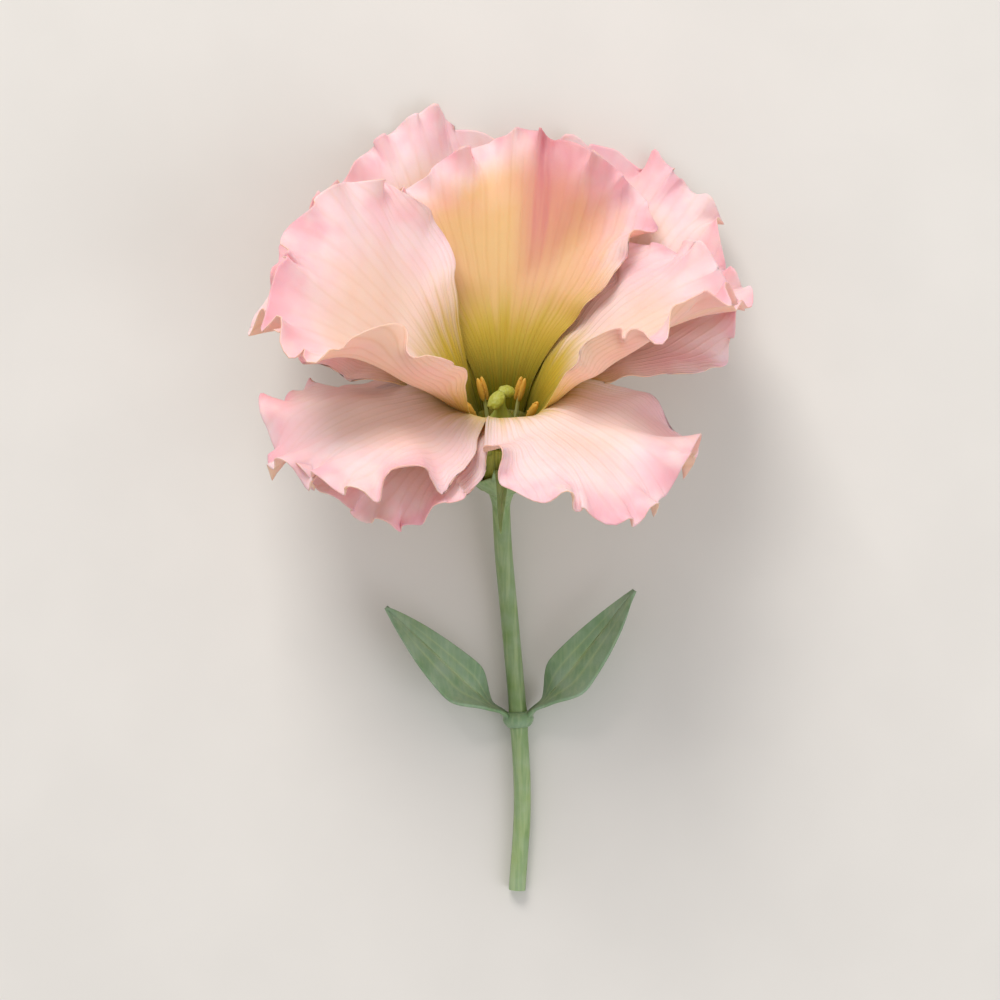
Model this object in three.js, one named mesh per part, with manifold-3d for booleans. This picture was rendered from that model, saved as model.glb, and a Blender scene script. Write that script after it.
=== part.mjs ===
// A picked lisianthus bloom with a length of its stalk, laid on a flat surface.
//
// Millimetres, +Z up. The bloom is drawn upright in a frame of its own, with its axis along +Z and
// the root of its corolla at the origin, and is then tipped forward by AXIS_TIP degrees about X, so
// that it faces +Y and up. Azimuths turn counter-clockwise about the bloom's axis from +X: petals
// near 90 degrees point down to the surface, and those near 270 degrees stand at the top.
// The finished part has its origin on the surface, under the middle of its bounding box.

import * as THREE from 'three';
import { mergeVertices } from 'three/addons/utils/BufferGeometryUtils.js';
import Module from 'manifold-3d';

const wasm = await Module();
wasm.setup();

const DEG = Math.PI / 180;

// How the flower lies
const AXIS_TIP = 50; // degrees between the bloom's axis and upright
const REST_DEPTH = 9.6; // from the root of the corolla straight down to the surface
const CLEARANCE = 0.3; // left between neighbouring pieces
const WELD = 0.02; // corners nearer to each other than this are joined
const PARTING = 0.02; // folds that only just touch are drawn back by this much

// Petals
const BLADE = 0.7; // thickness
const PRESS = 0.05; // a petal that reaches the surface is pressed flat by this much
const TUBE_RADIUS = 3.2; // from the axis to the middle of an inner petal, at its root
const TUBE_LEAN = 13; // degrees that the claws of the petals lean outward
const LAYER_STEP = 0.5; // the outer petals are rooted this much further out
const FAN_POLE = 9; // a petal widens as a fan from a pole this far below its root
const CLAW_SHARE = 0.46; // part of the fan's full angle that the narrow claw has
const SHOULDER = 0.7; // share of the length at which straight flanks turn into the round top
const PETAL_COLUMNS = 14;
const PETAL_ROWS = 10;
const ROW_CROWDING = 1.35; // above 1 the rows stand closer towards the margin
const MIDDLE_STEPS = 120; // along a petal's middle line
const MIDDLE_REACH = 1.05; // the middle line's length as a share of the petal's

// Tube that the claws are grown into
const TUBE_SIDES = 24;
const TUBE_FLOOR = 0.4; // height of its floor above the petals' roots
const TUBE_SINK = 2.2; // its base lies this far below the petals' roots
const TUBE_BASE = 2.4; // radius of its base
const TUBE_LENGTH = 5.4;
const TUBE_FADE = 2.2; // further length over which its wall thins out between the claws
const TUBE_RIM = 0.3; // thickness that is left there
const TUBE_INSIDE = TUBE_RADIUS - BLADE / 2 - 0.1;
const TUBE_OUTSIDE = TUBE_RADIUS + LAYER_STEP + BLADE / 2 + 0.05;

// Pistil
const PISTIL_SIDES = 12;
const PISTIL_FOOT = 1.25; // radius
const PISTIL_FOOT_HEIGHT = 1.7;
const OVARY_RADIUS = 2.5;
const OVARY_HEIGHTS = [4.6, 7, 8.8, 10.6, 11.8]; // of its belly, from the waist up to the style
const STYLE_RADIUS = 0.6;
const PISTIL_HEIGHT = 13.8;
const STIGMA_LOBE = new THREE.Vector3(1.7, 1.2, 0.9);
const LOBE_TILT = 24;
const LOBE_TURN = 55; // azimuth of one lobe of the stigma
const LOBE_OFFSET = 0.75; // of a lobe from the style, as a share of its half length

// Stamens
const STAMENS = 5;
const FIRST_OF_FIVE = 54; // azimuth of the first stamen and of the first sepal
const FILAMENT_RADIUS = 0.34;
const FILAMENT_COURSE = [[2.05, 1.1], [2.9, 4.6], [3.7, 8], [4.4, 11.2]]; // radius and height
const ANTHER = new THREE.Vector3(0.75, 0.75, 2.0);
const ANTHER_PLACE = [4.7, 12.1];
const ANTHER_TILT = 24;
const COLLAR_INSIDE = 1.65;
const COLLAR_OUTSIDE = 2.45;
const COLLAR_HEIGHT = 1.0;

// Calyx
const SEPALS = 5;
const SEPAL_LENGTH = 15;
const SEPAL_WIDTH = 2.6;
const SEPAL_POINT = 0.14; // width of its tip as a share of its width
const SEPAL_KEEL = 0.45;
const SEPAL_THICKNESS = 0.7;
const SEPAL_FOOT = 1.4; // height at which it is rooted in the cup's wall
const SEPAL_BEND = [1, 8]; // it bends outward between these distances from its foot
const SEPAL_LEAN = 98; // from the bloom's axis, for a sepal at either side
const SEPAL_LEAN_CHANGE = 20; // more at the top of the bloom, less next to the surface
const CUP_SIDES = 24;
const CUP_WALL = 0.7;
const CUP_HEIGHT = 2.6;
const CUP_FLOOR = 0.9;
const CUP_BASE = 2.3; // radius of its underside
const CUP_INSIDE = TUBE_OUTSIDE + CLEARANCE + 0.05; // radius at the height of the petals' roots

// Stalk
const STALK_RADIUS = 1.35;
const STALK_SIDES = 10;
const STALK_STEPS = 44;
const STALK_TOP = -TUBE_SINK - CLEARANCE - CUP_FLOOR - CLEARANCE;
const STALK_LYING = 0.93; // share of its radius at which its middle line lies over the surface
const RECEPTACLE_RADIUS = 2.1; // its swollen top
const RECEPTACLE_LENGTH = 4.4;
const BRACT_POINT = 4; // the point of its middle line at which the two bracts are set

// Bracts
const BRACT_LENGTH = 25;
const BRACT_WIDTH = 8.5;
const BRACT_SPREAD = 42; // degrees between a bract and the stalk
const BRACT_RISE = 4; // height that its tip gains
const BRACT_ROLL = 28; // degrees between its opened blade and the surface
const BRACT_FOLD = 0.22; // height that its halves gain for each millimetre from the midrib
const BRACT_FOOT = 0.4; // width of its foot as a share of its width
const SHEATH_LENGTH = 2.4; // of the ring round the stalk that the two bracts share
const SHEATH_WALL = 0.7;
const SHEATH_INSIDE = STALK_RADIUS + CLEARANCE;
const SHEATH_OUTSIDE = SHEATH_INSIDE + SHEATH_WALL;

// Where along a petal something sets in and is complete: in millimetres from its root
const UPRIGHT_BEND = [5, 22]; // the bend outward of an upright petal
const REFLEXED_BEND = [10, 22]; // the bend outward of a reflexed petal
const CURL_RISE = [5, 22]; // the curl of its own
// The same in shares of its length
const CLAW_RISE = [0.2, 0.62]; // the widening from the claw
const RUFFLE_RISE = [0.3, 0.75];
const FOLD_RISE = [0.45, 0.95];
const LOBE_RISE = [0.5, 1];
const FLARE_RISE = [0.4, 0.85]; // the loss of curl towards the margin
const TWIST_RISE = [0.1, 0.9];

// The petals: azimuth, layer (0 inside to 1 outside), length along the middle, half angle of the
// fan, lean from the bloom's axis halfway and at the margin, curl of the clockwise and of the
// counter-clockwise half in 1/mm beyond that of a cone, share of that curl lost towards the margin,
// twist about the petal's own length, height of its ruffles, and the seed of its ruffles. A fold
// has its place across the petal and its depth.
const PETAL_KEYS = [
  'azimuth', 'layer', 'length', 'fan', 'lean', 'tip', 'curl', 'flare', 'twist', 'wave', 'seed',
];
const PETALS = [
  [183, 0, 48, 32, 46, 54, [0, 0.04], 0.3, -14, 3.8, 2],
  [5, 0, 46, 25, 54, 62, [0.06, 0], 0.5, -10, 3.8, 3],
  [86, 0.5, 49, 25, 50, 48, [0, 0], 0, 0, 4.6, 1],
  [211, 0, 45, 27, 84, 110, [-0.02, 0], 0, 12, 4, 4],
  [311, 0, 43, 27, 82, 106, [0, -0.02], 0, -12, 4, 5],
  [110, 1, 54, 24, 60, 59, [0, 0], 0, 0, 4.2, 6],
  [62, 1, 53, 23, 66, 70, [0, 0], 0, 0, 4.4, 7],
  [151, 1, 47, 22, 70, 76, [0, 0], 0, 0, 3.8, 10],
  [221, 1, 41, 24, 94, 116, [-0.01, 0], 0, 6, 4, 8],
  [33, 1, 45, 22, 73, 80, [0, 0], 0, 0, 3.4, 9],
].map((row) => Object.fromEntries(row.map((value, i) => [PETAL_KEYS[i], value])));
const FOLDED = { seed: 1, place: -0.2, depth: 1.2, width: 0.11 }; // the one petal with a long fold
const REFLEXED = 90; // a petal whose margin leans further than this is a reflexed one

// Ruffles: how many waves a full turn round the petal's heart would hold, their share of the
// petal's ruffle height, and how far in from the margin they are felt.
const RUFFLES = [
  { count: 3.6, share: 0.5, reach: 24 },
  { count: 6.2, share: 0.5, reach: 18 },
  { count: 10.5, share: 0.36, reach: 11 },
  { count: 17, share: 0.2, reach: 6 },
];
const HEART_SHARE = 0.55; // the ruffles fan out from this share of the length
const RUFFLE_ROOM = 20; // nearer to the heart than this the ruffles are lower
const RUFFLE_FADE = 1.7; // power with which a ruffle dies out inwards
const RUFFLE_SLIDE = 0.35; // share of a ruffle's height by which its crests widen

// Lobes of the margin: waves across the petal, each with its height as a share of the length
const LOBES = [
  { waves: 3.4, share: 0.03 },
  { waves: 6.1, share: 0.022 },
];

const tip = new THREE.Matrix4().makeRotationX(-AXIS_TIP * DEG);

const flare = Math.tan(TUBE_LEAN * DEG);

// Smooth step from 0 at a to 1 at b
function ease(x, [a, b]) {
  const t = THREE.MathUtils.clamp((x - a) / (b - a), 0, 1);
  return t * t * (3 - 2 * t);
}

// Seeded draw between 0 and 1, from a linear congruence that stays exact in whole numbers
function makeDraw(seed) {
  let state = seed * 7919 + 17;
  const draw = () => {
    state = (state * 1664525 + 1013904223) % 4294967296;
    return state / 4294967296;
  };
  draw();
  draw();
  draw();
  return draw;
}

// The middle line of a petal in the plane through the bloom's axis: places every millimetre or
// less, each with its distance from the axis, its height and its lean.
function middleLine(petal) {
  const step = petal.length * MIDDLE_REACH / MIDDLE_STEPS;
  const bend = petal.tip > REFLEXED ? REFLEXED_BEND : UPRIGHT_BEND;
  const tipRise = [petal.length * HEART_SHARE, petal.length];
  const line = [];
  let radius = TUBE_RADIUS + LAYER_STEP * petal.layer;
  let height = 0;
  for (let i = 0; i <= MIDDLE_STEPS; i++) {
    const run = i * step;
    const opening = (petal.lean - TUBE_LEAN) * ease(run, bend);
    const tipping = (petal.tip - petal.lean) * ease(run, tipRise);
    const lean = (TUBE_LEAN + opening + tipping) * DEG;
    line.push({ radius, height, lean });
    radius += Math.sin(lean) * step;
    height += Math.cos(lean) * step;
  }
  return { line, step };
}

function alongLine({ line, step }, run) {
  const place = Math.max(0, run) / step;
  const i = Math.min(line.length - 2, Math.floor(place));
  const share = place - i;
  const blend = (key) => line[i][key] + (line[i + 1][key] - line[i][key]) * share;
  return { radius: blend('radius'), height: blend('height'), lean: blend('lean') };
}

// A petal's surface as a function of u, -1 to 1 across it, and v, 0 at its root to 1 at its margin
function petalSurface(petal) {
  const draw = makeDraw(petal.seed);
  const ruffles = RUFFLES.map(({ count, share, reach }) => ({
    count: count * (0.9 + 0.2 * draw()),
    height: petal.wave * share * (0.8 + 0.4 * draw()),
    reach,
    phase: 2 * Math.PI * draw(),
  }));
  const lobes = LOBES.map((lobe) => ({ ...lobe, phase: 2 * Math.PI * draw() }));
  const foldDepth = petal.seed === FOLDED.seed ? FOLDED.depth : 0;
  const middle = middleLine(petal);

  return (u, v) => {
    // Flat outline, with its lobes
    const bow = Math.sqrt(Math.max(0, 1 - u * u));
    const reach = petal.length * (SHOULDER + (1 - SHOULDER) * bow);
    const heights = lobes.map(({ waves, share, phase }) => share * Math.sin(waves * u + phase));
    const lobe = heights.reduce((sum, height) => sum + height);
    const run = v * reach * (1 + lobe * ease(v, LOBE_RISE));
    const widening = CLAW_SHARE + (1 - CLAW_SHARE) * ease(run / petal.length, CLAW_RISE);
    const spread = petal.fan * DEG * u * widening;
    let across = (FAN_POLE + run) * Math.sin(spread);
    let along = run * Math.cos(spread);
    const share = along / petal.length;

    // Ruffles, fading in from the margin, and the long fold
    const toTop = Math.max(1e-3, (1 - v) * reach);
    const toFlank = Math.max(1e-3, (1 - Math.abs(u)) * petal.fan * DEG * (FAN_POLE + run));
    const toMargin = (toTop ** -4 + toFlank ** -4) ** -0.25;
    const bladeShare = ease(share, RUFFLE_RISE);
    const pastHeart = along - HEART_SHARE * petal.length;
    const round = Math.atan2(across, pastHeart);
    const room = Math.min(1, Math.hypot(across, pastHeart) / RUFFLE_ROOM);
    const fold = Math.exp(-(((u - FOLDED.place) / FOLDED.width) ** 2)) * ease(share, FOLD_RISE);
    let lift = -foldDepth * fold;
    let slide = 0;
    for (const ruffle of ruffles) {
      const felt = Math.max(0, 1 - toMargin / ruffle.reach) ** RUFFLE_FADE;
      const size = ruffle.height * bladeShare * room * felt;
      lift += size * Math.sin(ruffle.count * round + ruffle.phase);
      slide -= RUFFLE_SLIDE * size * Math.sin(2 * (ruffle.count * round + ruffle.phase));
    }
    across += slide * Math.cos(round);
    along -= slide * Math.sin(round);

    // Curl: the petal lies on a cone about the bloom's axis, and each half has a curl of its own
    const { radius, height, lean } = alongLine(middle, along);
    const kept = 1 - petal.flare * ease(share, FLARE_RISE);
    const ownCurl = petal.curl[u > 0 ? 1 : 0] * kept * ease(along, CURL_RISE);
    const curl = Math.cos(lean) / radius + ownCurl + 1e-6;
    const turn = curl * across;
    const sideways = Math.sin(turn) / curl - lift * Math.sin(turn);
    const inward = (1 - Math.cos(turn)) / curl + lift * Math.cos(turn);

    // Twist about the petal's length, then its place on the bloom
    const twist = petal.twist * DEG * ease(share, TWIST_RISE);
    const side = sideways * Math.cos(twist) - inward * Math.sin(twist);
    const rise = sideways * Math.sin(twist) + inward * Math.cos(twist);
    const out = radius - Math.cos(lean) * rise;
    const azimuth = petal.azimuth * DEG;
    const point = new THREE.Vector3(
      out * Math.cos(azimuth) - side * Math.sin(azimuth),
      out * Math.sin(azimuth) + side * Math.cos(azimuth),
      height + Math.sin(lean) * rise,
    ).applyMatrix4(tip);

    // A petal that reaches the surface lies flat on it
    point.z = Math.max(point.z, -REST_DEPTH + BLADE / 2 - PRESS);
    return point;
  };
}

// A closed blade of even thickness about the middle surface place(u, v). Both faces share one
// pattern of triangles, so that they stay parallel however the surface is waved.
function blade(place, us, vs, thickness) {
  const columns = us.length;
  const rows = vs.length;
  const positions = [];
  const index = [];
  const nudge = 1e-3;
  for (const facing of [1, -1]) {
    for (const v of vs) {
      for (const u of us) {
        const alongU = place(Math.min(1, u + nudge), v).sub(place(Math.max(-1, u - nudge), v));
        const alongV = place(u, Math.min(1, v + nudge)).sub(place(u, Math.max(0, v - nudge)));
        const normal = alongU.cross(alongV).normalize();
        positions.push(...place(u, v).addScaledVector(normal, facing * thickness / 2).toArray());
      }
    }
  }
  const layer = columns * rows;
  for (let j = 0; j < rows - 1; j++) {
    for (let i = 0; i < columns - 1; i++) {
      const a = j * columns + i;
      const [b, c, d] = [a + 1, a + columns + 1, a + columns];
      index.push(a, b, c, a, c, d);
      index.push(layer + a, layer + c, layer + b, layer + a, layer + d, layer + c);
    }
  }
  const rim = [];
  for (let i = 0; i < columns - 1; i++) rim.push(i);
  for (let j = 0; j < rows - 1; j++) rim.push(j * columns + columns - 1);
  for (let i = columns - 1; i > 0; i--) rim.push((rows - 1) * columns + i);
  for (let j = rows - 1; j > 0; j--) rim.push(j * columns);
  rim.forEach((a, i) => {
    const b = rim[(i + 1) % rim.length];
    index.push(a, layer + b, b, a, layer + a, layer + b);
  });
  const geometry = new THREE.BufferGeometry();
  geometry.setAttribute('position', new THREE.Float32BufferAttribute(positions, 3));
  geometry.setIndex(index);
  return geometry;
}

// Shares from 0 to 1 in equal steps
function shares(count) {
  return Array.from({ length: count + 1 }, (_, i) => i / count);
}

function toSolid(geometry) {
  const bare = new THREE.BufferGeometry();
  bare.setAttribute('position', geometry.getAttribute('position').clone());
  if (geometry.index) bare.setIndex(geometry.index.clone());
  const merged = mergeVertices(bare, 1e-4);
  return new wasm.Manifold(new wasm.Mesh({
    numProp: 3,
    vertProperties: Float32Array.from(merged.getAttribute('position').array),
    triVerts: Uint32Array.from(merged.index.array),
  }));
}

// The outer shell of a solid: sealed hollows are filled and loose scraps dropped
function outerShell(solid) {
  const { numProp, vertProperties, triVerts } = solid.getMesh();
  const parent = Array.from({ length: vertProperties.length / numProp }, (_, i) => i);
  const find = (i) => {
    let root = i;
    while (parent[root] !== root) root = parent[root];
    while (parent[i] !== root) [parent[i], i] = [root, parent[i]];
    return root;
  };
  for (let t = 0; t < triVerts.length; t += 3) {
    parent[find(triVerts[t])] = find(triVerts[t + 1]);
    parent[find(triVerts[t + 1])] = find(triVerts[t + 2]);
  }
  const corner = (i) => new THREE.Vector3().fromArray(vertProperties, i * numProp);
  const shells = new Map();
  for (let t = 0; t < triVerts.length; t += 3) {
    const root = find(triVerts[t]);
    if (!shells.has(root)) shells.set(root, { volume: 0, index: [] });
    const shell = shells.get(root);
    const [a, b, c] = [triVerts[t], triVerts[t + 1], triVerts[t + 2]];
    shell.volume += corner(a).dot(corner(b).cross(corner(c)));
    shell.index.push(a, b, c);
  }
  const largest = [...shells.values()].sort((a, b) => b.volume - a.volume)[0];
  const geometry = new THREE.BufferGeometry();
  const used = new Map();
  const positions = [];
  const index = largest.index.map((i) => {
    if (!used.has(i)) {
      used.set(i, used.size);
      positions.push(...corner(i).toArray());
    }
    return used.get(i);
  });
  geometry.setAttribute('position', new THREE.Float32BufferAttribute(positions, 3));
  geometry.setIndex(index);
  return partTouching(geometry);
}

// Two folds of one body that meet at a corner are drawn apart there, each by PARTING into itself
function partTouching(geometry) {
  geometry.computeVertexNormals();
  const position = geometry.getAttribute('position');
  const normal = geometry.getAttribute('normal');
  const places = new Map();
  for (let i = 0; i < position.count; i++) {
    const place = new THREE.Vector3().fromBufferAttribute(position, i);
    const key = place.toArray().map((value) => value.toFixed(3)).join();
    places.set(key, [...(places.get(key) ?? []), i]);
  }
  for (const corners of places.values()) {
    if (corners.length === 1) continue;
    for (const i of corners) {
      const place = new THREE.Vector3().fromBufferAttribute(position, i);
      const inward = new THREE.Vector3().fromBufferAttribute(normal, i).multiplyScalar(-PARTING);
      position.setXYZ(i, ...place.add(inward).toArray());
    }
  }
  return geometry;
}

// Everything below the surface, cut away from whatever rests on it
function belowSurface() {
  const [size, depth] = [400, 20];
  const slab = new THREE.BoxGeometry(size, size, depth);
  slab.translate(0, 0, -REST_DEPTH - depth / 2);
  return toSolid(slab);
}

// Several closed geometries grown together into one body. What rests on the surface ends flat
// there. Corners that the join leaves closer than WELD become one.
function join(geometries, { rests = false } = {}) {
  let solid = geometries.map(toSolid).reduce((whole, piece) => whole.add(piece));
  if (rests) solid = solid.subtract(belowSurface());
  return outerShell(solid.simplify(WELD));
}

// A turned body from its half profile, [radius, height] pairs, with its axis along +Z
function turned(profile, sides) {
  const points = profile.map(([radius, height]) => new THREE.Vector2(radius, height));
  const body = new THREE.LatheGeometry(points, sides);
  body.rotateX(Math.PI / 2);
  return body;
}

function rod(points, radius, sides, steps) {
  const section = new THREE.Shape();
  for (let i = 0; i < sides; i++) {
    const angle = (i + 0.5) * 2 * Math.PI / sides;
    const [x, y] = [radius * Math.cos(angle), radius * Math.sin(angle)];
    if (i === 0) section.moveTo(x, y);
    else section.lineTo(x, y);
  }
  const extrudePath = new THREE.CatmullRomCurve3(points);
  return new THREE.ExtrudeGeometry(section, { steps, extrudePath, bevelEnabled: false });
}

function corolla() {
  const end = TUBE_LENGTH + TUBE_FADE;
  const rim = TUBE_RADIUS + LAYER_STEP / 2 + flare * end;
  const tube = turned([
    [0, -TUBE_SINK],
    [TUBE_BASE, -TUBE_SINK],
    [TUBE_OUTSIDE, 0],
    [TUBE_OUTSIDE + flare * TUBE_LENGTH, TUBE_LENGTH],
    [rim + TUBE_RIM / 2, end],
    [rim - TUBE_RIM / 2, end],
    [TUBE_INSIDE + flare * TUBE_LENGTH, TUBE_LENGTH],
    [TUBE_INSIDE, TUBE_FLOOR],
    [0, TUBE_FLOOR],
  ], TUBE_SIDES).applyMatrix4(tip);
  const us = shares(PETAL_COLUMNS).map((share) => {
    const even = 2 * share - 1;
    return (even + Math.sin(even * Math.PI / 2)) / 2;
  });
  const vs = shares(PETAL_ROWS).map((share) => 1 - (1 - share) ** ROW_CROWDING);
  const blades = PETALS.map((petal) => blade(petalSurface(petal), us, vs, BLADE));
  return join([tube, ...blades], { rests: true });
}

function pistil() {
  const foot = TUBE_FLOOR + CLEARANCE;
  const [waist, belly, shoulder, neck, style] = OVARY_HEIGHTS;
  const body = turned([
    [0, foot],
    [PISTIL_FOOT, foot],
    [PISTIL_FOOT, foot + PISTIL_FOOT_HEIGHT],
    [OVARY_RADIUS * 0.76, waist],
    [OVARY_RADIUS, belly],
    [OVARY_RADIUS * 0.9, shoulder],
    [OVARY_RADIUS * 0.5, neck],
    [STYLE_RADIUS, style],
    [STYLE_RADIUS, PISTIL_HEIGHT],
    [0, PISTIL_HEIGHT],
  ], PISTIL_SIDES);
  const lobes = [-1, 1].map((side) => {
    const lobe = new THREE.SphereGeometry(1, 10, 8);
    lobe.scale(STIGMA_LOBE.x, STIGMA_LOBE.y, STIGMA_LOBE.z);
    lobe.rotateY(side * LOBE_TILT * DEG);
    lobe.translate(side * STIGMA_LOBE.x * LOBE_OFFSET, 0, PISTIL_HEIGHT);
    lobe.rotateZ(LOBE_TURN * DEG);
    return lobe;
  });
  return join([body, ...lobes]).applyMatrix4(tip);
}

function stamens() {
  const foot = TUBE_FLOOR + CLEARANCE;
  const collar = turned([
    [COLLAR_INSIDE, foot],
    [COLLAR_OUTSIDE, foot],
    [COLLAR_OUTSIDE, foot + COLLAR_HEIGHT],
    [COLLAR_INSIDE, foot + COLLAR_HEIGHT],
    [COLLAR_INSIDE, foot],
  ], 20);
  const pieces = [collar];
  for (let i = 0; i < STAMENS; i++) {
    const azimuth = (FIRST_OF_FIVE + i * 360 / STAMENS) * DEG;
    const at = ([radius, height]) => new THREE.Vector3(
      radius * Math.cos(azimuth), radius * Math.sin(azimuth), height);
    pieces.push(rod(FILAMENT_COURSE.map(at), FILAMENT_RADIUS, 6, 8));
    const anther = new THREE.SphereGeometry(1, 8, 8);
    anther.rotateX(Math.PI / 2);
    anther.scale(ANTHER.x, ANTHER.y, ANTHER.z);
    anther.rotateY(ANTHER_TILT * DEG);
    anther.rotateZ(azimuth);
    anther.translate(...at(ANTHER_PLACE).toArray());
    pieces.push(anther);
  }
  return join(pieces).applyMatrix4(tip);
}

// A sepal's middle surface: an awl with a keel, rooted in the cup's rim and bent away from the
// petals above it, furthest where those are thrown back
function sepalSurface(azimuth) {
  const lean = SEPAL_LEAN - SEPAL_LEAN_CHANGE * Math.sin(azimuth);
  const rootRadius = CUP_INSIDE + CUP_WALL / 2 + flare * SEPAL_FOOT;
  const leanAt = (run) => (TUBE_LEAN + (lean - TUBE_LEAN) * ease(run, SEPAL_BEND)) * DEG;
  const steps = 20;
  return (u, v) => {
    const step = v * SEPAL_LENGTH / steps;
    let radius = rootRadius;
    let height = SEPAL_FOOT;
    for (let i = 0; i < steps; i++) {
      const angle = leanAt((i + 0.5) * step);
      radius += Math.sin(angle) * step;
      height += Math.cos(angle) * step;
    }
    const angle = leanAt(v * SEPAL_LENGTH);
    const side = u * SEPAL_WIDTH / 2 * (1 - (1 - SEPAL_POINT) * v ** 1.3);
    const keel = SEPAL_KEEL * (1 - Math.abs(u)) * (1 - v);
    const wrap = side / rootRadius * (1 - ease(v, [0, 0.3]));
    const out = radius + Math.cos(angle) * keel - (1 - Math.cos(wrap)) * rootRadius;
    return new THREE.Vector3(
      out * Math.cos(azimuth) - side * Math.sin(azimuth),
      out * Math.sin(azimuth) + side * Math.cos(azimuth),
      height - Math.sin(angle) * keel,
    );
  };
}

// The cup is a cone round the tube's base, with a wall and a floor of even thickness, and flares
// with the tube from the height of the petals' roots.
function calyx() {
  const floorTop = -TUBE_SINK - CLEARANCE;
  const floorInside = TUBE_BASE + CLEARANCE / 2;
  const cup = turned([
    [0, floorTop - CUP_FLOOR],
    [CUP_BASE, floorTop - CUP_FLOOR],
    [floorInside + CUP_WALL, floorTop - CUP_FLOOR / 2],
    [CUP_INSIDE + CUP_WALL, 0],
    [CUP_INSIDE + CUP_WALL + flare * CUP_HEIGHT, CUP_HEIGHT],
    [CUP_INSIDE + flare * CUP_HEIGHT, CUP_HEIGHT],
    [CUP_INSIDE, 0],
    [floorInside, floorTop],
    [0, floorTop],
  ], CUP_SIDES);
  const us = shares(4).map((share) => 2 * share - 1);
  const vs = shares(9);
  const pieces = [cup];
  for (let i = 0; i < SEPALS; i++) {
    const azimuth = (FIRST_OF_FIVE + i * 360 / SEPALS) * DEG;
    pieces.push(blade(sepalSurface(azimuth), us, vs, SEPAL_THICKNESS));
  }
  return join(pieces).applyMatrix4(tip);
}

// The stalk's middle line, from the calyx down to its cut end on the surface. It lies on the
// bracts' sheath and on its cut end.
function stalkCurve() {
  const axis = new THREE.Vector3(0, 0, 1).applyMatrix4(tip);
  const lying = -REST_DEPTH + STALK_RADIUS * STALK_LYING;
  const atSheath = -REST_DEPTH + SHEATH_OUTSIDE - PRESS;
  return new THREE.CatmullRomCurve3([
    axis.clone().multiplyScalar(STALK_TOP - CLEARANCE),
    axis.clone().multiplyScalar(STALK_TOP - 4),
    new THREE.Vector3(0.3, -12, atSheath + 1.2),
    new THREE.Vector3(1.2, -22, atSheath + 0.3),
    new THREE.Vector3(2.6, -38, atSheath),
    new THREE.Vector3(3.2, -51, lying + 0.5),
    new THREE.Vector3(2.4, -64, lying),
  ]);
}

// The frame in which the bracts are drawn: +Z runs along the stalk to the bloom, +Y is up
function bractFrame() {
  const curve = stalkCurve();
  const share = BRACT_POINT / (curve.points.length - 1);
  const forward = curve.getTangent(share).negate();
  const side = new THREE.Vector3(0, 0, 1).cross(forward).normalize();
  const up = forward.clone().cross(side);
  return new THREE.Matrix4().makeBasis(side, up, forward).setPosition(curve.getPoint(share));
}

function stalk() {
  const receptacle = turned([
    [0, -RECEPTACLE_LENGTH],
    [STALK_RADIUS * 0.7, -RECEPTACLE_LENGTH],
    [RECEPTACLE_RADIUS, 0],
    [0, 0],
  ], 12);
  receptacle.translate(0, 0, STALK_TOP);
  receptacle.applyMatrix4(tip);
  const stem = rod(stalkCurve().points, STALK_RADIUS, STALK_SIDES, STALK_STEPS);
  return join([stem, receptacle], { rests: true });
}

// A bract's middle surface, in the bracts' own frame: its foot is wrapped round the stalk, and its
// blade spreads away from the stalk, rolls over towards the surface and arches.
function bractSurface(side) {
  const rootRadius = SHEATH_OUTSIDE - SHEATH_WALL / 2;
  const spread = BRACT_SPREAD * DEG;
  return (u, v) => {
    const run = v * BRACT_LENGTH;
    const widening = BRACT_FOOT + (1 - BRACT_FOOT) * ease(v, [0, 0.35]);
    const lateral = u * BRACT_WIDTH / 2 * widening * (1 - 0.97 * v ** 2.6);
    const roll = THREE.MathUtils.lerp(90, BRACT_ROLL, ease(v, [0.05, 0.4])) * DEG;
    const halves = BRACT_FOLD * Math.abs(lateral) * ease(v, [0, 0.3]);
    const arch = BRACT_RISE * Math.sin(v * Math.PI * 0.62) + halves;
    const opened = new THREE.Vector3(
      side * (rootRadius + run * Math.sin(spread) + lateral * Math.cos(roll) * Math.cos(spread)),
      arch + lateral * Math.sin(roll),
      run * Math.cos(spread) - lateral * Math.cos(roll) * Math.sin(spread),
    );
    const wrapAngle = lateral / rootRadius;
    const wrapped = new THREE.Vector3(
      side * rootRadius * Math.cos(wrapAngle),
      rootRadius * Math.sin(wrapAngle),
      run * Math.cos(spread),
    );
    return wrapped.lerp(opened, ease(v, [0, 0.14]));
  };
}

function bracts() {
  const sheath = turned([
    [SHEATH_INSIDE, -SHEATH_LENGTH / 2],
    [SHEATH_OUTSIDE, -SHEATH_LENGTH / 2],
    [SHEATH_OUTSIDE, SHEATH_LENGTH / 2],
    [SHEATH_INSIDE, SHEATH_LENGTH / 2],
    [SHEATH_INSIDE, -SHEATH_LENGTH / 2],
  ], 16);
  const us = shares(6).map((share) => 2 * share - 1);
  const vs = shares(14);
  const blades = [-1, 1].map((side) => blade(bractSurface(side), us, vs, SHEATH_WALL));
  const pieces = [sheath, ...blades].map((piece) => piece.applyMatrix4(bractFrame()));
  return join(pieces, { rests: true });
}

function material(color, roughness) {
  return new THREE.MeshStandardMaterial({ color, roughness, metalness: 0 });
}

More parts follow.
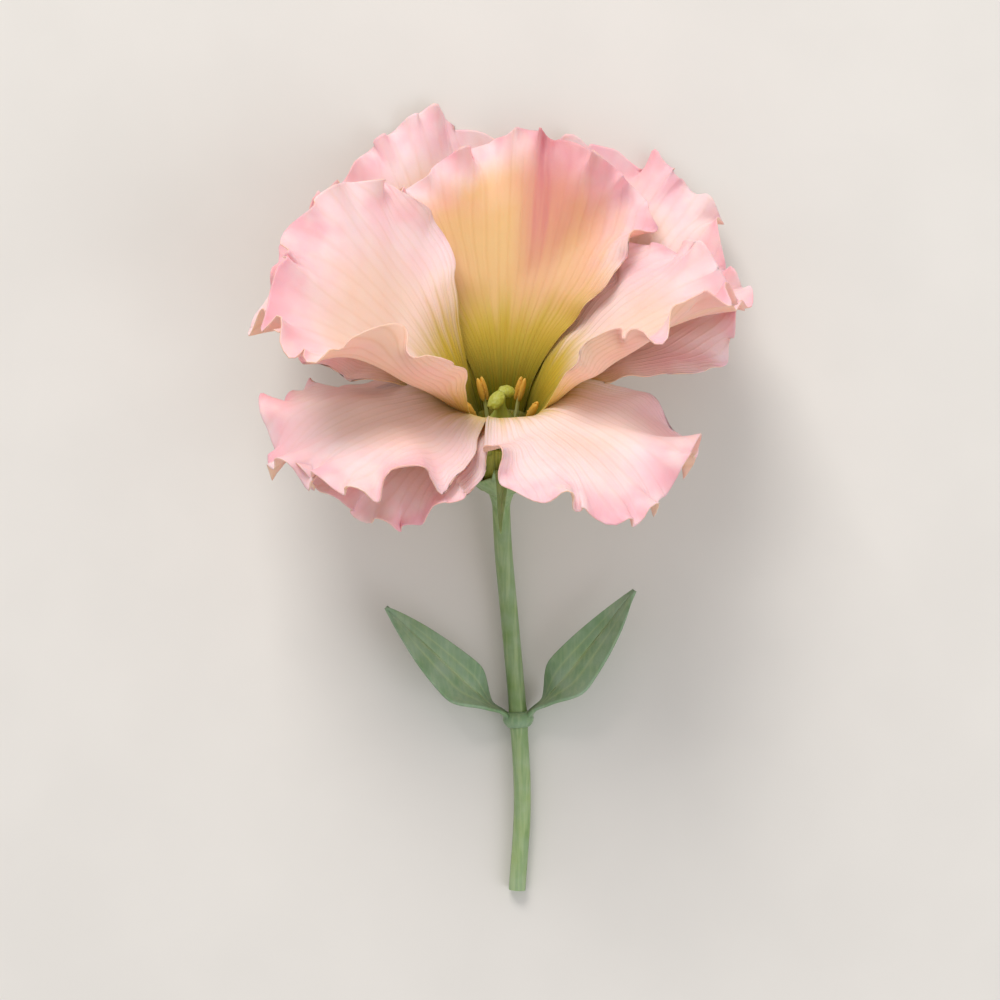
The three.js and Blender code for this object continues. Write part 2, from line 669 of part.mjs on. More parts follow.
const flower = new THREE.Group();
const pieces = [
  ['corolla', corolla(), material('#f6dccb', 0.6)],
  ['pistil', pistil(), material('#a9b833', 0.5)],
  ['stamens', stamens(), material('#d99a2b', 0.7)],
  ['calyx', calyx(), material('#7d9a52', 0.55)],
  ['stalk', stalk(), material('#7c9a5c', 0.5)],
  ['bracts', bracts(), material('#7f9f78', 0.6)],
];
for (const [name, geometry, look] of pieces) {
  geometry.computeVertexNormals();
  const mesh = new THREE.Mesh(geometry, look);
  mesh.name = name;
  flower.add(mesh);
}

// The origin goes to the surface, under the middle of the part
const box = new THREE.Box3().setFromObject(flower);
const middle = box.getCenter(new THREE.Vector3());
flower.position.set(-middle.x, -middle.y, -box.min.z);
flower.updateMatrixWorld(true);

export default flower;
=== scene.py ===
# The looks of a picked lisianthus bloom laid on a flat surface.
#
# Sizes are in millimetres in the formulas and in metres in Blender. The bloom is drawn upright, with
# its axis along +Z and the root of its corolla at the origin, and is then tipped forward by AXIS_TIP
# degrees, so that it faces +Y and up. Azimuths turn counter-clockwise about its axis from +X.

import math
import random

import bpy
from bpy.props import FloatProperty, FloatVectorProperty, IntProperty, PointerProperty
from mathutils import Matrix, Vector, noise


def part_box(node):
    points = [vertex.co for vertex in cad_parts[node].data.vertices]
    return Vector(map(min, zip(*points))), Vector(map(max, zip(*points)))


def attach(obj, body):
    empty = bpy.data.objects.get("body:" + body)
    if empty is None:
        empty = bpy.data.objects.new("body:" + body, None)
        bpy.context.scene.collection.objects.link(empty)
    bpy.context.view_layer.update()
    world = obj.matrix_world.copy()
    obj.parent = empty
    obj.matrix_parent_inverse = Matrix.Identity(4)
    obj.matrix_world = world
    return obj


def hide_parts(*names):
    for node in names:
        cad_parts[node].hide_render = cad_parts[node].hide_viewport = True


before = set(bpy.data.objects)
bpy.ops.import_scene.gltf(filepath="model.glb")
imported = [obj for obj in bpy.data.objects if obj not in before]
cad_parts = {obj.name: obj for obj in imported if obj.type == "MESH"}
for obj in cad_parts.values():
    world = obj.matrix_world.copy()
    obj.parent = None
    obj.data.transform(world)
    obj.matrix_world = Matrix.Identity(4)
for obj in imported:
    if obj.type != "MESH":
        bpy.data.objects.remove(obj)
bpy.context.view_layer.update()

bl_info = {
    "name": "Lisianthus bloom",
    "version": (1, 0, 0),
    "blender": (4, 5, 0),
    "location": "3D View > Sidebar > Lisianthus",
    "description": "Makes the petals, pistil, stamens, calyx, stalk and bracts of a picked bloom",
    "category": "Add Mesh",
}

MM = 0.001

# How the flower lies
AXIS_TIP = math.radians(50)
REST_DEPTH = 9.6  # from the root of the corolla straight down to the surface
CLEARANCE = 0.3
ABOVE_FLOOR = 0.02
PRESS = 0.05  # by which the sheath lies lower than round
TIP = Matrix.Rotation(-AXIS_TIP, 4, "X")

# Petals, as in the solids
TUBE_RADIUS = 3.2
TUBE_LEAN = 13
LAYER_STEP = 0.5
FAN_POLE = 9
CLAW_SHARE = 0.46
SHOULDER = 0.7
MARGIN_ROUNDING = 4
MIDDLE_STEPS = 120
MIDDLE_REACH = 1.05
HEART_SHARE = 0.55
RUFFLE_SLIDE = 0.35
RUFFLE_ROOM = 20
RUFFLE_FADE = 1.7
ROW_CROWDING = 1.35
UPRIGHT_BEND = (5, 22)
REFLEXED_BEND = (10, 22)
CURL_RISE = (5, 22)
CLAW_RISE = (0.2, 0.62)
RUFFLE_RISE = (0.3, 0.75)
FOLD_RISE = (0.45, 0.95)
LOBE_RISE = (0.5, 1)
FLARE_RISE = (0.4, 0.85)
TWIST_RISE = (0.1, 0.9)
DROPPED_DRAWS = 3
COUNT_DRAW = (0.9, 0.2)  # least share of a ruffle's count, and the range above it
HEIGHT_DRAW = (0.8, 0.4)
# The last value of a row sets how much tan the blade's middle takes: partly the petal's own colour, partly
# painted shade, most on the back petal at 86 degrees, deep in the cup.
PETAL_KEYS = ("azimuth", "layer", "length", "fan", "lean", "tip", "curl", "flare", "twist", "wave",
              "pleat", "seed", "bend", "tan_and_painted_shade")
PETALS = [dict(zip(PETAL_KEYS, row)) for row in (
    (183, 0.0, 48, 32, 46, 54, (0.0, 0.04), 0.3, -14, 3.8, (0, 0), 2, UPRIGHT_BEND, 0.35),
    (5, 0.0, 46, 25, 54, 62, (0.06, 0.0), 0.5, -10, 3.8, (0, 0), 3, UPRIGHT_BEND, 0.35),
    (86, 0.5, 49, 25, 50, 48, (0.0, 0.0), 0, 0, 4.6, (-0.2, 1.2), 1, UPRIGHT_BEND, 1.0),
    (211, 0.0, 45, 27, 84, 110, (-0.02, 0.0), 0, 12, 4.0, (0, 0), 4, REFLEXED_BEND, 0.2),
    (311, 0.0, 43, 27, 82, 106, (0.0, -0.02), 0, -12, 4.0, (0, 0), 5, REFLEXED_BEND, 0.15),
    (110, 1.0, 54, 24, 60, 59, (0.0, 0.0), 0, 0, 4.2, (0, 0), 6, UPRIGHT_BEND, 0.5),
    (62, 1.0, 53, 23, 66, 70, (0.0, 0.0), 0, 0, 4.4, (0, 0), 7, UPRIGHT_BEND, 0.5),
    (151, 1.0, 47, 22, 70, 76, (0.0, 0.0), 0, 0, 3.8, (0, 0), 10, UPRIGHT_BEND, 0.4),
    (221, 1.0, 41, 24, 94, 116, (-0.01, 0.0), 0, 6, 4.0, (0, 0), 8, REFLEXED_BEND, 0.3),
    (33, 1.0, 45, 22, 73, 80, (0.0, 0.0), 0, 0, 3.4, (0, 0), 9, UPRIGHT_BEND, 0.4),
)]

# Ruffles: waves in a full turn round the petal's heart, share of the ruffle height, reach inwards
RUFFLES = ((3.6, 0.5, 24), (6.2, 0.5, 18), (10.5, 0.36, 11), (17, 0.2, 6))
FRILLS = ((27, 0.25, 6), (38, 0.15, 4))
FRILL_SPAN = (1.8, 4.2)  # a frill needs waves this long
FRILL_RISE = (0.45, 0.8)
FRILL_SLIDE = 0.15
LOBES = ((3.4, 0.03), (6.1, 0.022))  # waves across the margin, share of the length
TEETH = ((13, 0.006), (23, 0.004), (37, 0.003))
TOOTH_RISE = (0.8, 1)
PLEATS = 7
PLEAT_HEIGHT = 0.16
PLEAT_RISE = (0.15, 0.45)
FOLD_WIDTH = 0.11
FOLD_SHADE_WIDTHS = (0.30, 0.13)  # widths of the painted shade along the fold, on its clockwise and its counter-clockwise side
FOLD_SHADE_RISE = (0.4, 0.8)
FLUSH_REACH = 13  # of the margin's colour inwards
THIN_MARGIN = 4  # width of the band in which a blade thins out
THIN_SHARE = 0.45
SEED_STEP = 0.61803  # between the streaks of two petals
WARM_GLOW = (1.0, 0.55, 0.35)  # reach of red, green and blue light under the skin
LEAF_GLOW = (0.5, 1.0, 0.3)

# Tube, pistil and stamens
FLARE = math.tan(math.radians(TUBE_LEAN))
TUBE_OUTSIDE = 4.1
TUBE_INSIDE = 2.75
TUBE_BASE = 2.4
TUBE_FLOOR = 0.4
TUBE_SINK = 2.2
TUBE_LENGTH = 5.4
TUBE_FADE = 2.2
TUBE_RIM = 0.24
TUBE_SCALE = 46  # the length of petal that the tube's colours belong to
FOOT = TUBE_FLOOR + CLEARANCE
PISTIL_FOOT = 1.25
PISTIL_FOOT_HEIGHT = 1.7
OVARY_RADIUS = 2.5
OVARY_COURSE = ((0.76, 4.6), (1, 7), (0.9, 8.8), (0.5, 10.6))  # share of its radius, height
FURROW_DEPTH = 0.14
STYLE_RADIUS = 0.6
STYLE_HEIGHTS = (11.8, 12.8)
PISTIL_HEIGHT = 13.8
LOBE_TURN = math.radians(55)
LOBE_TILT = math.radians(24)
LOBE_OFFSET = 0.75
STIGMA_LOBE = Vector((1.7, 1.2, 0.9))
FILAMENT_COURSE = ((2.05, FOOT + 0.4), (2.9, 4.6), (3.7, 8), (4.4, 11.2))  # radius, height
FILAMENT_RADII = (0.36, 0.24)
ANTHER_PLACE = (4.7, 12.1)
ANTHER_TILT = math.radians(24)
POLLEN_GRAINS = 46  # on one anther
COLLAR_INSIDE = 1.65
COLLAR_OUTSIDE = 2.45
COLLAR_HEIGHT = 1.0
PARTS_OF_FIVE = [math.radians(54 + 72 * i) for i in range(5)]

# The root of the corolla, from the solid pistil, whose foot is its lowest edge towards the stalk
PISTIL_LOW, PISTIL_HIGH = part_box("pistil")
ROOT = Vector((
    (PISTIL_LOW.x + PISTIL_HIGH.x) / 2 / MM,
    PISTIL_LOW.y / MM + PISTIL_FOOT * math.cos(AXIS_TIP) - FOOT * math.sin(AXIS_TIP),
    REST_DEPTH,
))
BLOOM = Matrix.Translation(ROOT * MM) @ TIP

# Calyx, stalk and bracts
SEPAL_LENGTH = 15
SEPAL_WIDTH = 2.6
SEPAL_KEEL = 0.45
SEPAL_FOOT = 1.4
SEPAL_BEND = (1, 8)
SEPAL_LEAN = 98
SEPAL_LEAN_CHANGE = 20
CUP_WALL = 0.7
CUP_HEIGHT = 2.6
CUP_FLOOR = 0.9
CUP_BASE = 2.3
CUP_INSIDE = TUBE_OUTSIDE + CLEARANCE + 0.05
STALK_RADIUS = 1.35
STALK_LYING = 0.93
RECEPTACLE_RADIUS = 2.1
RECEPTACLE_LENGTH = 4.4
STALK_TOP = -TUBE_SINK - CLEARANCE - CUP_FLOOR - CLEARANCE
BRACT_POINT = 4  # the point of the stalk's middle line at which the bracts are set
BRACT_LENGTH = 25
BRACT_WIDTH = 8.5
BRACT_SPREAD = math.radians(42)
BRACT_RISE = 4
BRACT_ROLL = 28
BRACT_FOLD = 0.22
BRACT_FOOT = 0.4
SHEATH_WALL = 0.7
SHEATH_LENGTH = 2.4
SHEATH_INSIDE = STALK_RADIUS + CLEARANCE
SHEATH_OUTSIDE = SHEATH_INSIDE + SHEATH_WALL
SHEATH_GRIP = STALK_RADIUS + 0.05  # where the fine sheath closes onto the stalk


def colour(name, description, default):
    return FloatVectorProperty(name=name, description=description, subtype="COLOR", size=4,
                               min=0, max=1, default=(*default, 1))


def distance(name, description, default):
    return FloatProperty(name=name, description=description, default=default, unit="LENGTH",
                         precision=5)


def number(name, description, default, **settings):
    return FloatProperty(name=name, description=description, default=default, **settings)


class PetalLook(bpy.types.PropertyGroup):
    thickness: distance("Thickness", "Thickness of a petal's blade", 0.00038)
    columns: IntProperty(name="Columns", description="Faces across a petal", default=112, min=8)
    rows: IntProperty(name="Rows", description="Faces from root to margin", default=42, min=8)
    throat: colour("Throat", "Colour deep in the throat", (0.20, 0.17, 0.001))
    heart: colour("Heart", "Colour where a petal leaves the throat", (0.52, 0.38, 0.03))
    # The Blade tan is partly the petals' own colour and partly painted shade, laid on by each petal's last
    # value in PETALS.
    blade: colour("Blade", "Colour of the middle of the blade", (0.76, 0.49, 0.22))
    pale: colour("Pale", "Colour of the outer part of the blade", (0.93, 0.725, 0.745))
    flush: colour("Flush", "Pink flush of the margin", (0.92, 0.38, 0.48))
    # The dark rose along the back petal's long fold is painted shade of its crease.
    fold_shade: colour("Fold shade", "Red streak along the long fold", (0.60, 0.17, 0.21))
    outside: colour("Outside", "Colour of the back of a petal", (0.91, 0.68, 0.44))


class GreenLook(bpy.types.PropertyGroup):
    ovary: colour("Ovary", "Colour of the ovary and its style", (0.42, 0.48, 0.07))
    stigma: colour("Stigma", "Colour of the two-lobed stigma", (0.40, 0.41, 0.04))
    anther: colour("Anther", "Colour of the anthers and their pollen", (0.78, 0.42, 0.07))
    calyx: colour("Calyx", "Colour of the sepals", (0.20, 0.32, 0.09))
    stalk: colour("Stalk", "Colour of the stalk", (0.22, 0.34, 0.12))
    bract: colour("Bract", "Colour of the leaves on the stalk", (0.20, 0.33, 0.18))


class StageLook(bpy.types.PropertyGroup):
    floor: colour("Floor", "Colour of the pale floor", (0.74, 0.72, 0.70))
    camera_height: distance("Camera height", "Height of the camera over the floor", 0.5)
    lens: number("Lens", "Focal length of the camera", 118, unit="CAMERA")
    key_energy: number("Key light", "Power of the key light", 8.9, unit="POWER")
    fill_energy: number("Fill light", "Power of the fill light", 3.2, unit="POWER")
    sky: number("Sky", "Strength of the light from all round", 0.6)


class FlowerLook(bpy.types.PropertyGroup):
    petals: PointerProperty(type=PetalLook)
    greens: PointerProperty(type=GreenLook)
    stage: PointerProperty(type=StageLook)


# Curves and small formulas

def ease(x, a, b):
    """Smooth step from 0 at a to 1 at b."""
    t = min(1.0, max(0.0, (x - a) / (b - a)))
    return t * t * (3 - 2 * t)


def mix(a, b, share):
    return a + (b - a) * share


def about_axis(azimuth, out, side, height):
    """The point at a distance from the axis along an azimuth, and at another one to its side."""
    return Vector((
        out * math.cos(azimuth) - side * math.sin(azimuth),
        out * math.sin(azimuth) + side * math.cos(azimuth),
        height,
    ))


def seeded_draw(seed):
    """Draws between 0 and 1, the same ones as in the solids."""
    state = seed * 7919 + 17
    while True:
        state = (state * 1664525 + 1013904223) % 4294967296
        yield state / 4294967296


def varied(value, draw, least, span):
    return value * (least + span * next(draw))


def middle_line(petal):
    """Distance from the axis, height and lean along a petal's middle line."""
    step = petal["length"] * MIDDLE_REACH / MIDDLE_STEPS
    radius = TUBE_RADIUS + LAYER_STEP * petal["layer"]
    height = 0.0
    line = []
    for i in range(MIDDLE_STEPS + 1):
        run = i * step
        opening = (petal["lean"] - TUBE_LEAN) * ease(run, *petal["bend"])
        tipping = (petal["tip"] - petal["lean"]) * ease(run, petal["length"] * HEART_SHARE, petal["length"])
        lean = math.radians(TUBE_LEAN + opening + tipping)
        line.append((radius, height, lean))
        radius += math.sin(lean) * step
        height += math.cos(lean) * step
    return line, step


def petal_surface(petal, half_thickness):
    """The petal as a function of u, -1 to 1 across it, and v, 0 at its root to 1 at its margin.
    It gives a point, the share of the length, the distance from the margin and the share of painted shade
    along the fold."""
    draw = seeded_draw(petal["seed"])
    for _ in range(DROPPED_DRAWS):
        next(draw)

    def drawn(table, fine):
        return [(varied(count, draw, *COUNT_DRAW), varied(petal["wave"] * share, draw, *HEIGHT_DRAW),
                 reach, math.tau * next(draw), fine) for count, share, reach in table]

    ruffles = drawn(RUFFLES, False)
    lobes = [(waves, share, math.tau * next(draw)) for waves, share in LOBES]
    ruffles += drawn(FRILLS, True)
    teeth = [(waves, share, math.tau * next(draw)) for waves, share in TEETH]
    pleat_phase = math.tau * next(draw)
    line, step = middle_line(petal)
    length = petal["length"]
    fan = math.radians(petal["fan"])
    azimuth = math.radians(petal["azimuth"])
    floor = -REST_DEPTH + half_thickness + ABOVE_FLOOR

    def place(u, v):
        bow = math.sqrt(max(0.0, 1 - u * u))
        reach = length * (SHOULDER + (1 - SHOULDER) * bow)
        lobe = sum(share * math.sin(waves * u + phase) for waves, share, phase in lobes)
        notch = sum(share * math.sin(waves * u + phase) for waves, share, phase in teeth)
        run = v * reach * (1 + lobe * ease(v, *LOBE_RISE) + notch * ease(v, *TOOTH_RISE))
        widening = CLAW_SHARE + (1 - CLAW_SHARE) * ease(run / length, *CLAW_RISE)
        spread = fan * u * widening
        across = (FAN_POLE + run) * math.sin(spread)
        along = run * math.cos(spread)
        share = along / length

        to_top = max(1e-3, (1 - v) * reach)
        to_flank = max(1e-3, (1 - abs(u)) * fan * (FAN_POLE + run))
        to_margin = (to_top ** -MARGIN_ROUNDING + to_flank ** -MARGIN_ROUNDING) ** (-1 / MARGIN_ROUNDING)
        blade_share = ease(share, *RUFFLE_RISE)
        past_heart = along - HEART_SHARE * length
        round_heart = math.atan2(across, past_heart)
        from_heart = math.hypot(across, past_heart)
        room = min(1.0, from_heart / RUFFLE_ROOM)
        fold_at, fold_depth = petal["pleat"]
        lift = PLEAT_HEIGHT * math.cos(PLEATS * u + pleat_phase) * ease(share, *PLEAT_RISE)
        lift -= fold_depth * math.exp(-((u - fold_at) / FOLD_WIDTH) ** 2) * ease(share, *FOLD_RISE)
        # Share of painted shade that the fold's crease gets, in dark rose
        fold = math.exp(-((u - fold_at) / FOLD_SHADE_WIDTHS[u > fold_at]) ** 2) * ease(share, *FOLD_SHADE_RISE)
        slide = 0.0
        for count, size, reach_in, phase, fine in ruffles:
            felt = size * blade_share * room * max(0.0, 1 - to_margin / reach_in) ** RUFFLE_FADE
            if fine:
                felt *= ease(math.tau * from_heart / count, *FRILL_SPAN) * ease(share, *FRILL_RISE)
            turn = count * round_heart + phase
            lift += felt * math.sin(turn)
            slide -= (FRILL_SLIDE if fine else RUFFLE_SLIDE) * felt * math.sin(2 * turn)
        across += slide * math.cos(round_heart)
        along -= slide * math.sin(round_heart)

        spot = max(0.0, along) / step
        i = min(len(line) - 2, int(spot))
        radius, height, lean = (mix(a, b, spot - i) for a, b in zip(line[i], line[i + 1]))

        own_curl = petal["curl"][1 if u > 0 else 0] * (1 - petal["flare"] * ease(share, *FLARE_RISE))
        curl = math.cos(lean) / radius + ease(along, *CURL_RISE) * own_curl + 1e-6
        turn = curl * across
        sideways = math.sin(turn) / curl
        inward = (1 - math.cos(turn)) / curl

        sideways -= lift * math.sin(turn)
        inward += lift * math.cos(turn)

        twist = math.radians(petal["twist"]) * ease(share, *TWIST_RISE)
        side = sideways * math.cos(twist) - inward * math.sin(twist)
        rise = sideways * math.sin(twist) + inward * math.cos(twist)
        out = radius - math.cos(lean) * rise
        point = TIP @ about_axis(azimuth, out, side, height + math.sin(lean) * rise)
        point.z = max(point.z, floor)
        return point + ROOT, share, to_margin, fold if fold_depth else 0.0

    return place


def spline_point(points, share):
    """A point of the smooth centripetal curve through the points, as in the solids."""
    spot = share * (len(points) - 1)
    i = min(len(points) - 2, int(spot))
    weight = spot - i
    p1, p2 = points[i], points[i + 1]
    p0 = points[i - 1] if i > 0 else 2 * p1 - p2
    p3 = points[i + 2] if i + 2 < len(points) else 2 * p2 - p1
    d0, d1, d2 = (math.sqrt((b - a).length) for a, b in ((p0, p1), (p1, p2), (p2, p3)))
    t1 = ((p1 - p0) / d0 - (p2 - p0) / (d0 + d1) + (p2 - p1) / d1) * d1
    t2 = ((p2 - p1) / d1 - (p3 - p1) / (d1 + d2) + (p3 - p2) / d2) * d1
    square = weight * weight
    cube = square * weight
    return (p1 * (2 * cube - 3 * square + 1) + t1 * (cube - 2 * square + weight)
            + p2 * (3 * square - 2 * cube) + t2 * (cube - square))


def stalk_points():
    """The stalk's middle line, from the calyx to its cut end, before the bloom's root is placed."""
    axis = TIP @ Vector((0, 0, 1))
    lying = -REST_DEPTH + STALK_RADIUS * STALK_LYING
    at_sheath = -REST_DEPTH + SHEATH_OUTSIDE - PRESS
    return [
        axis * (STALK_TOP - CLEARANCE),
        axis * (STALK_TOP - 4),
        Vector((0.3, -12, at_sheath + 1.2)),
        Vector((1.2, -22, at_sheath + 0.3)),
        Vector((2.6, -38, at_sheath)),
        Vector((3.2, -51, lying + 0.5)),
        Vector((2.4, -64, lying)),
    ]


def bract_frame():
    """The bracts' own frame, at the stalk's fifth point: +Z along the stalk to the bloom, +Y up."""
    points = stalk_points()
    share = BRACT_POINT / (len(points) - 1)
    nudge = 1e-4
    forward = (spline_point(points, share - nudge) - spline_point(points, share + nudge)).normalized()
    side = Vector((0, 0, 1)).cross(forward).normalized()
    up = forward.cross(side)
    turn = Matrix((side, up, forward)).transposed().to_4x4()
    return Matrix.Translation((spline_point(points, share) + ROOT) * MM) @ turn


# Making and shaping

def deselect():
    if bpy.context.object and bpy.context.object.mode != "OBJECT":
        bpy.ops.object.mode_set(mode="OBJECT")
    bpy.ops.object.select_all(action="DESELECT")


def apply_modifier(piece, kind, **settings):
    bpy.context.view_layer.objects.active = piece
    modifier = piece.modifiers.new(kind.title(), kind)
    for key, value in settings.items():
        setattr(modifier, key, value)
    bpy.ops.object.modifier_apply(modifier=modifier.name)


def subdivide(piece, levels):
    apply_modifier(piece, "SUBSURF", levels=levels, render_levels=levels)


def shape(piece, formula):
    """Every corner moves to where the formula, in millimetres, takes it."""
    for corner in piece.data.vertices:
        corner.co = formula(corner.co / MM) * MM


def keep_above_floor(piece):
    for corner in piece.data.vertices:
        corner.co.z = max(corner.co.z, ABOVE_FLOOR * MM)


def store(piece, name, values):
    attribute = piece.data.attributes.new(name, "FLOAT", "POINT")
    attribute.data.foreach_set("value", values)


def sheet(name, columns, rows, place):
    """A flat grid laid on place(u, v), in millimetres, with u from -1 to 1 and v from 0 to 1."""
    deselect()
    bpy.ops.mesh.primitive_grid_add(x_subdivisions=columns, y_subdivisions=rows, size=2)
    made = bpy.context.object
    made.name = name
    for corner in made.data.vertices:
        corner.co = place(corner.co.x, (corner.co.y + 1) / 2) * MM
    bpy.ops.object.shade_smooth()
    return made


def close_seams():
    """The body that is being edited gets one skin that faces out, and is shaded smooth."""
    bpy.ops.mesh.select_all(action="SELECT")
    bpy.ops.mesh.remove_doubles(threshold=1e-7)
    bpy.ops.mesh.normals_make_consistent(inside=False)
    bpy.ops.object.mode_set(mode="OBJECT")
    bpy.ops.object.shade_smooth()


def turned(name, profile, sides, ring=False):
    """A body turned about Z, raised from its first ring by extrusion.
    A ring's profile ends where it begins."""
    deselect()
    radius, height = profile[0]
    bpy.ops.mesh.primitive_circle_add(vertices=sides, radius=radius * MM, location=(0, 0, height * MM),
                                      fill_type="NOTHING" if ring else "NGON")
    made = bpy.context.object
    made.name = name
    bpy.ops.object.transform_apply(location=True)
    bpy.ops.object.mode_set(mode="EDIT")
    bpy.ops.mesh.select_all(action="SELECT")
    for (r0, h0), (r1, h1) in zip(profile, profile[1:]):
        bpy.ops.mesh.extrude_region_move(TRANSFORM_OT_translate={"value": (0, 0, (h1 - h0) * MM)})
        bpy.ops.transform.resize(value=(r1 / r0, r1 / r0, 1), center_override=(0, 0, h1 * MM))
    close_seams()
    return made


def tube(name, points, radii, sides):
    """A round rod along the points, in millimetres, with a radius at each of them."""
    deselect()
    bpy.ops.curve.primitive_nurbs_path_add()
    made = bpy.context.object
    made.name = name
    course = made.data
    course.splines.clear()
    spline = course.splines.new("POLY")
    spline.points.add(len(points) - 1)
    for knot, point, radius in zip(spline.points, points, radii):
        knot.co = (*(point * MM), 1)
        knot.radius = radius
    course.dimensions = "3D"
    course.bevel_depth = MM
    course.bevel_resolution = sides // 4
    course.use_fill_caps = True
    bpy.ops.object.convert(target="MESH")
    made = bpy.context.object
    bpy.ops.object.mode_set(mode="EDIT")
    close_seams()
    return made


def ball(name, size, turn, centre, rings):
    """A stretched ball about its centre, in millimetres."""
    deselect()
    bpy.ops.mesh.primitive_uv_sphere_add(segments=rings * 2, ring_count=rings, radius=1)
    made = bpy.context.object
    made.name = name
    made.data.transform(Matrix.Translation(centre * MM) @ turn @ Matrix.Diagonal((*(size * MM), 1)))
    bpy.ops.object.shade_smooth()
    return made


def join(name, made):
    deselect()
    for piece in made:
        piece.select_set(True)
    bpy.context.view_layer.objects.active = made[0]
    bpy.ops.object.join()
    whole = bpy.context.object
    whole.name = name
    whole.data.name = name
    return whole


def place_on_bloom(piece):
    """The piece tips forward with the bloom, and its place goes into its mesh."""
    deselect()
    piece.select_set(True)
    bpy.context.view_layer.objects.active = piece
    piece.matrix_world = BLOOM
    bpy.ops.object.transform_apply(location=True, rotation=True, scale=True)


def hand_over(piece, node):
    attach(piece, "root")
    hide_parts(node)


# Shader nodes

def add(tree, kind, inputs=(), **settings):
    """A node with its settings and inputs, each a value or another node's output."""
    made = tree.nodes.new(kind)
    for key, value in settings.items():
        setattr(made, key, value)
    for key, value in dict(inputs).items():
        if isinstance(value, bpy.types.NodeSocket):
            tree.links.new(value, made.inputs[key])
        else:
            made.inputs[key].default_value = value
    return made


def calculate(tree, operation, a, b):
    return add(tree, "ShaderNodeMath", {0: a, 1: b}, operation=operation).outputs[0]


def times(tree, a, b):
    return calculate(tree, "MULTIPLY", a, b)


def plus(tree, a, b):
    return calculate(tree, "ADD", a, b)


def fade(tree, value, low, high, start=0.0, end=1.0):
    """Smooth step of a value from low to high, put out from start to end."""
    made = add(tree, "ShaderNodeMapRange", {"Value": value, "From Min": low, "From Max": high,
                                            "To Min": start, "To Max": end},
               interpolation_type="SMOOTHSTEP")
    return made.outputs["Result"]


def blend(tree, factor, a, b, kind="MIX"):
    return add(tree, "ShaderNodeMix", {"Factor": factor, 6: a, 7: b}, data_type="RGBA",
               blend_type=kind).outputs[2]


def grain(tree, vector, scale, detail, roughness=0.5):
    made = add(tree, "ShaderNodeTexNoise", {"Vector": vector, "Scale": scale, "Detail": detail,
                                            "Roughness": roughness})
    return made.outputs["Fac"]


def attribute(tree, name):
    return add(tree, "ShaderNodeAttribute", attribute_name=name).outputs["Fac"]


def new_group(name, colours, strengths):
    """A tissue's node group with its sockets. It gives the tree, its input node and its output node."""
    tree = bpy.data.node_groups.new(name, "ShaderNodeTree")

    def socket(key, kind, way="INPUT"):
        return tree.interface.new_socket(key, in_out=way, socket_type="NodeSocket" + kind)

    for key in colours:
        socket(key, "Color")
    for key, default in strengths.items():
        socket(key, "Float").default_value = default
    for key, kind in (("Color", "Color"), ("Roughness", "Float"), ("Height", "Float")):
        socket(key, kind, "OUTPUT")
    return tree, tree.nodes.new("NodeGroupInput"), tree.nodes.new("NodeGroupOutput")


